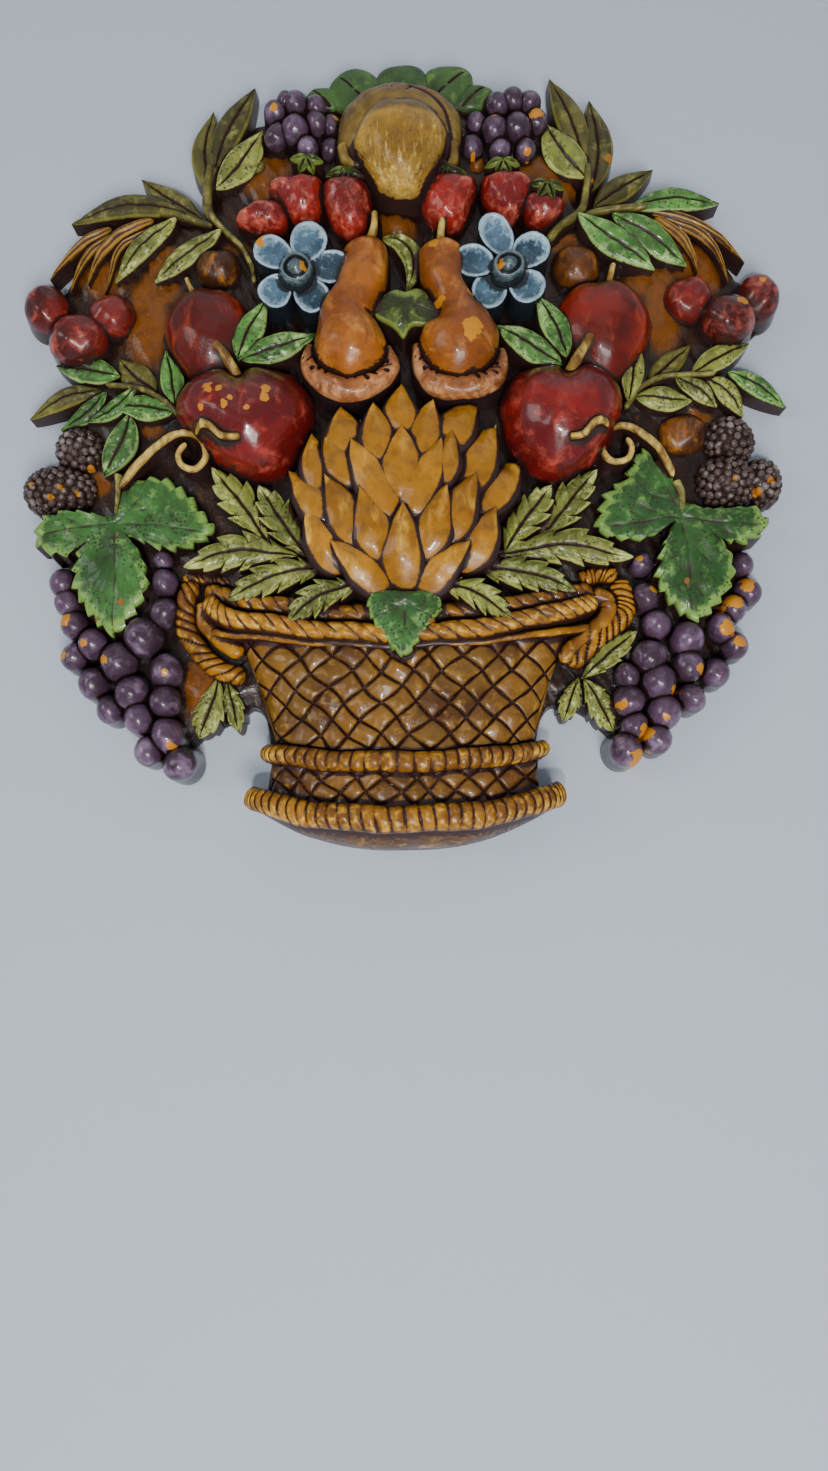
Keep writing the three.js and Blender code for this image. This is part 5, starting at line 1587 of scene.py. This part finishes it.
# %% The colours
PAINTS = {
    "woven": paint("woven ochre", (114, 80, 24), (196, 150, 70), (78, 46, 14), second=(140, 96, 28),
                   second_share=0.5, stroke=4, glaze=(50, 27, 24), flecks=0.25, roughness=0.34, bump=0.7),
    "rope": paint("rope ochre", (172, 114, 14), (226, 172, 54), (112, 68, 14), glaze=(52, 28, 20),
                  flecks=0.2, stroke=3, roughness=0.34, bump=0.5),
    "artichoke": paint("artichoke gold", (188, 128, 18), (234, 178, 66), (140, 90, 6),
                       second=(152, 100, 8), second_share=0.8, glaze=(44, 26, 26), stroke=5,
                       stretch=(1, 1, 0.4), flecks=0.05, roughness=0.36),
    "apple": paint("apple red", (134, 26, 18), (196, 78, 62), (92, 14, 12), second=(92, 70, 18),
                   second_share=0.9, stroke=8, flecks=0.05, roughness=0.3, coat=0.45),
    "back apple": paint("back apple red", (124, 28, 12), (176, 66, 28), (80, 15, 8), second=(88, 62, 16),
                        stroke=6, stretch=(1, 1, 0.3), roughness=0.34),
    "cherry": paint("cherry red", (112, 26, 18), (202, 94, 74), (64, 14, 10), stroke=6, roughness=0.3,
                    coat=0.45),
    "nut": paint("nut brown", (108, 60, 16), (190, 120, 38), (60, 32, 14), stroke=5, stretch=(1, 1, 0.4)),
    "strawberry": paint("strawberry red", (150, 32, 22), (214, 108, 86), (104, 18, 14), stroke=4,
                        flecks=0.1, roughness=0.3, coat=0.45),
    "grape": paint("grape purple", (84, 60, 82), (132, 108, 134), (58, 40, 54), glaze=(36, 22, 22),
                   stroke=5, flecks=0.06, roughness=0.28, coat=0.45),
    "berry": paint("bramble", (88, 72, 68), (164, 150, 150), (58, 42, 36), glaze=(42, 26, 16),
                   flecks=0.35, stroke=4, primer=(168, 108, 24), roughness=0.34),
    "gourd": paint("gourd copper", (168, 97, 28), (216, 142, 62), (130, 68, 16), glaze=(44, 26, 18),
                   stroke=10, roughness=0.34),
    "lip": paint("gourd lip", (162, 97, 48), (212, 150, 98), (120, 66, 30), glaze=(42, 26, 28), stroke=4,
                 roughness=0.32),
    # the rind's second colour is a painted shade over its top
    "rind": paint("melon rind", (134, 108, 40), (172, 146, 68), (96, 72, 24), second=(118, 80, 30),
                  second_share=0.9, stroke=12, roughness=0.42),
    # the flesh's second colour is a painted shade over the top of the lobe
    "flesh": paint("melon flesh", (184, 142, 52), (226, 194, 104), (128, 92, 24), second=(110, 84, 22),
                   second_share=1.0, stroke=1.6, stretch=(1, 1, 0.25), specks=0.3, roughness=0.42),
    "petal": paint("petal blue", (80, 110, 130), (150, 180, 194), (42, 62, 76), second=(166, 192, 204),
                   second_share=0.85, glaze=(28, 34, 40), stroke=2, roughness=0.3),
    "boss": paint("flower centre", (62, 76, 80), (126, 144, 148), (42, 52, 56), second=(112, 130, 134),
                  second_share=0.7, glaze=(26, 30, 32), stroke=2, roughness=0.28),
    "olive": paint("olive leaf", (98, 94, 34), (162, 158, 78), (62, 60, 22), second=(140, 132, 54),
                   second_share=0.6, specks=0.35, flecks=0.25, stroke=5, stretch=(0.6, 1, 0.6),
                   primer=(150, 98, 26)),
    "pale": paint("pale leaf", (136, 142, 60), (206, 212, 130), (90, 98, 36), second=(186, 192, 104),
                  second_share=0.8, specks=0.85, stroke=3.5),
    "green": paint("green leaf", (90, 146, 62), (178, 210, 128), (52, 92, 36), second=(158, 192, 106),
                   second_share=0.8, specks=0.8, stroke=4),
    "emerald": paint("vine leaf", (58, 108, 44), (130, 174, 92), (34, 72, 28), second=(116, 154, 68),
                     second_share=1.0, specks=0.85, flecks=0.15, stroke=5, primer=(130, 84, 34)),
    "dark leaf": paint("dark leaf", (60, 78, 28), (118, 138, 60), (40, 52, 20), second=(126, 140, 58),
                       second_share=0.8, specks=0.4),
    "crown leaf": paint("crown leaf", (66, 104, 46), (118, 152, 76), (46, 74, 32), second=(92, 126, 54),
                        stroke=7, specks=0.3),
    "stem": paint("stem olive", (104, 98, 40), (158, 150, 74), (66, 60, 22), stroke=4),
    "gold": paint("stalk gold", (156, 116, 38), (222, 190, 98), (104, 70, 20), stroke=3,
                  stretch=(1, 1, 0.5)),
    "dry": paint("dry stem", (122, 80, 24), (204, 160, 74), (66, 40, 16), second=(178, 132, 50),
                 second_share=0.8, stroke=3),
    "ground": paint("ground brown", (48, 27, 14), (98, 58, 16), (28, 16, 10), second=(114, 62, 0),
                    stroke=2.5, stretch=(1, 1, 0.25), glaze=(32, 18, 14), flecks=0.35,
                    primer=(120, 70, 8), roughness=0.26, bump=1.0,
                    back=((206, 196, 178), (178, 164, 142))),
}
# which paint each piece wears
WEARS = {
    "basket_body": "woven", "basket_beads": "rope", "basket_rim": "rope", "artichoke": "artichoke",
    "front_apples": "apple", "back_apples": "back apple", "cherries": "cherry", "nuts": "nut",
    "strawberries": "strawberry", "grapes": "grape", "brambles": "berry", "gourds": "gourd",
    "gourd_lips": "lip", "melon_rind": "rind", "melon_flesh": "flesh", "flower_petals": "petal",
    "flower_centres": "boss", "olive_leaves": "olive", "pale_leaves": "pale",
    "green_leaves": "green", "acanthus": "pale", "vine_leaves": "emerald",
    "centre_leaf": "dark leaf", "top_leaves": "crown leaf", "calyxes": "dark leaf",
    "gold_stalks": "gold", "leaf_stems": "stem", "dry_stems": "dry", "ground_and_back": "ground"}
total = 0
for name, forms in PIECES.items():
    piece, triangles = make_piece(name, forms, PAINTS[WEARS[name]])
    total += triangles
    print(f"{name:18s} {len(forms):4d} forms {triangles:7d} triangles")
print("all pieces:", len(PIECES), "with", total, "triangles")

# %% [markdown]
# ## The room
#
# The plaque hangs on a plain pale wall that curves into a floor. The wall is a single sheet
# that can only be seen from the front and casts no shadow, so that a look from behind shows
# the plaque's back, lit by a lamp of its own. Soft light comes from in front and below, with
# a weaker one above, and the pale air around fills the shadows.

# %% Wall and floor
WALL_GAP = 0.0006                         # metres behind the back, so the two never touch
DROP = 0.62                               # from the plaque's foot down to the floor
BEND = 0.25                               # radius of the curve between wall and floor
SWEEP_WIDTH = 4.0
SWEEP_REACH = 3.0                         # how high the wall goes and how far the floor runs


def sweep_profile():
    """Wall, quarter circle and floor as (y, z) points, from the top of the wall forward."""
    wall_y = BACK_Y + WALL_GAP
    floor_z = FOOT_Z - DROP
    bend = np.linspace(0, TAU / 4, 24)
    curve_y = wall_y - BEND * (1 - np.cos(bend))
    curve_z = floor_z + BEND - BEND * np.sin(bend)
    y = np.concatenate([[wall_y], curve_y, [wall_y - SWEEP_REACH]])
    z = np.concatenate([[floor_z + SWEEP_REACH], curve_z, [floor_z]])
    return y, z


profile_y, profile_z = sweep_profile()
count = len(profile_y)
across = np.array([-SWEEP_WIDTH / 2, SWEEP_WIDTH / 2])
points = np.stack([np.tile(across, (count, 1)), np.repeat(profile_y[:, None], 2, 1),
                   np.repeat(profile_z[:, None], 2, 1)], axis=-1)
strips = [(2 * k, 2 * k + 2, 2 * k + 3, 2 * k + 1) for k in range(count - 1)]
sweep = bpy.data.meshes.new("studio_sweep")
sweep.from_pydata(points.reshape(-1, 3).tolist(), [], strips)
sweep.shade_smooth()
wall = bpy.data.objects.new("studio_sweep", sweep)
bpy.context.scene.collection.objects.link(wall)

backdrop = bpy.data.materials.new("pale wall")
backdrop.use_nodes = True
tree = backdrop.node_tree
tree.nodes.clear()
matt = put(tree, "ShaderNodeBsdfPrincipled", {"Base Color": screen(176, 184, 195),
                                              "Roughness": 0.9, "Specular IOR Level": 0.1})
clear = tree.nodes.new("ShaderNodeBsdfTransparent")
facing = tree.nodes.new("ShaderNodeNewGeometry").outputs["Backfacing"]
shadowing = tree.nodes.new("ShaderNodeLightPath").outputs["Is Shadow Ray"]
unseen = calc(tree, "MAXIMUM", facing, shadowing)
one_sided = put(tree, "ShaderNodeMixShader", {0: unseen, 1: matt.outputs[0], 2: clear.outputs[0]})
tree.links.new(one_sided.outputs[0], tree.nodes.new("ShaderNodeOutputMaterial").inputs["Surface"])
sweep.materials.append(backdrop)
print("wall normal", tuple(round(v, 2) for v in sweep.polygons[0].normal))

# %% Light
AIR = (0.80, 0.85, 0.95, 1.0)
AIR_STRENGTH = 0.44
world = bpy.data.worlds.new("pale air")
world.use_nodes = True
world.node_tree.nodes["Background"].inputs["Color"].default_value = AIR
world.node_tree.nodes["Background"].inputs["Strength"].default_value = AIR_STRENGTH
bpy.context.scene.world = world


def soft_box(name, place, aim, size, watts, colour=(1.0, 1.0, 1.0)):
    """A square area light at a place in metres, turned to a point."""
    light = bpy.data.objects.new(name, bpy.data.lights.new(name, "AREA"))
    light.data.size = size
    light.data.energy = watts
    light.data.color = colour
    light.location = place
    light.rotation_euler = (Vector(aim) - Vector(place)).to_track_quat("-Z", "Y").to_euler()
    bpy.context.scene.collection.objects.link(light)


middle_z = FOOT_Z + 0.5 * (HIGH.z - LOW.z)
soft_box("key_low", (0.15, -0.95, middle_z - 0.75), (0, 0, middle_z), 0.42, 10.4, (1.0, 0.98, 0.95))
soft_box("lamp", (-0.05, -0.85, middle_z - 0.42), (0, 0, middle_z), 0.05, 3.4)
soft_box("fill_left", (-0.9, -0.8, middle_z + 0.1), (0, 0, middle_z), 0.5, 3.2)
soft_box("fill_top", (0.2, -0.7, middle_z + 0.9), (0, 0, middle_z), 1.2, 2.2, (0.95, 0.97, 1.0))
soft_box("behind", (0.5, 1.1, middle_z + 0.5), (0, 0, middle_z), 0.8, 3.5)

# %% Sizes, and finish
print("CAD box", [round(v, 4) for v in CAD_LOW], [round(v, 4) for v in CAD_HIGH])
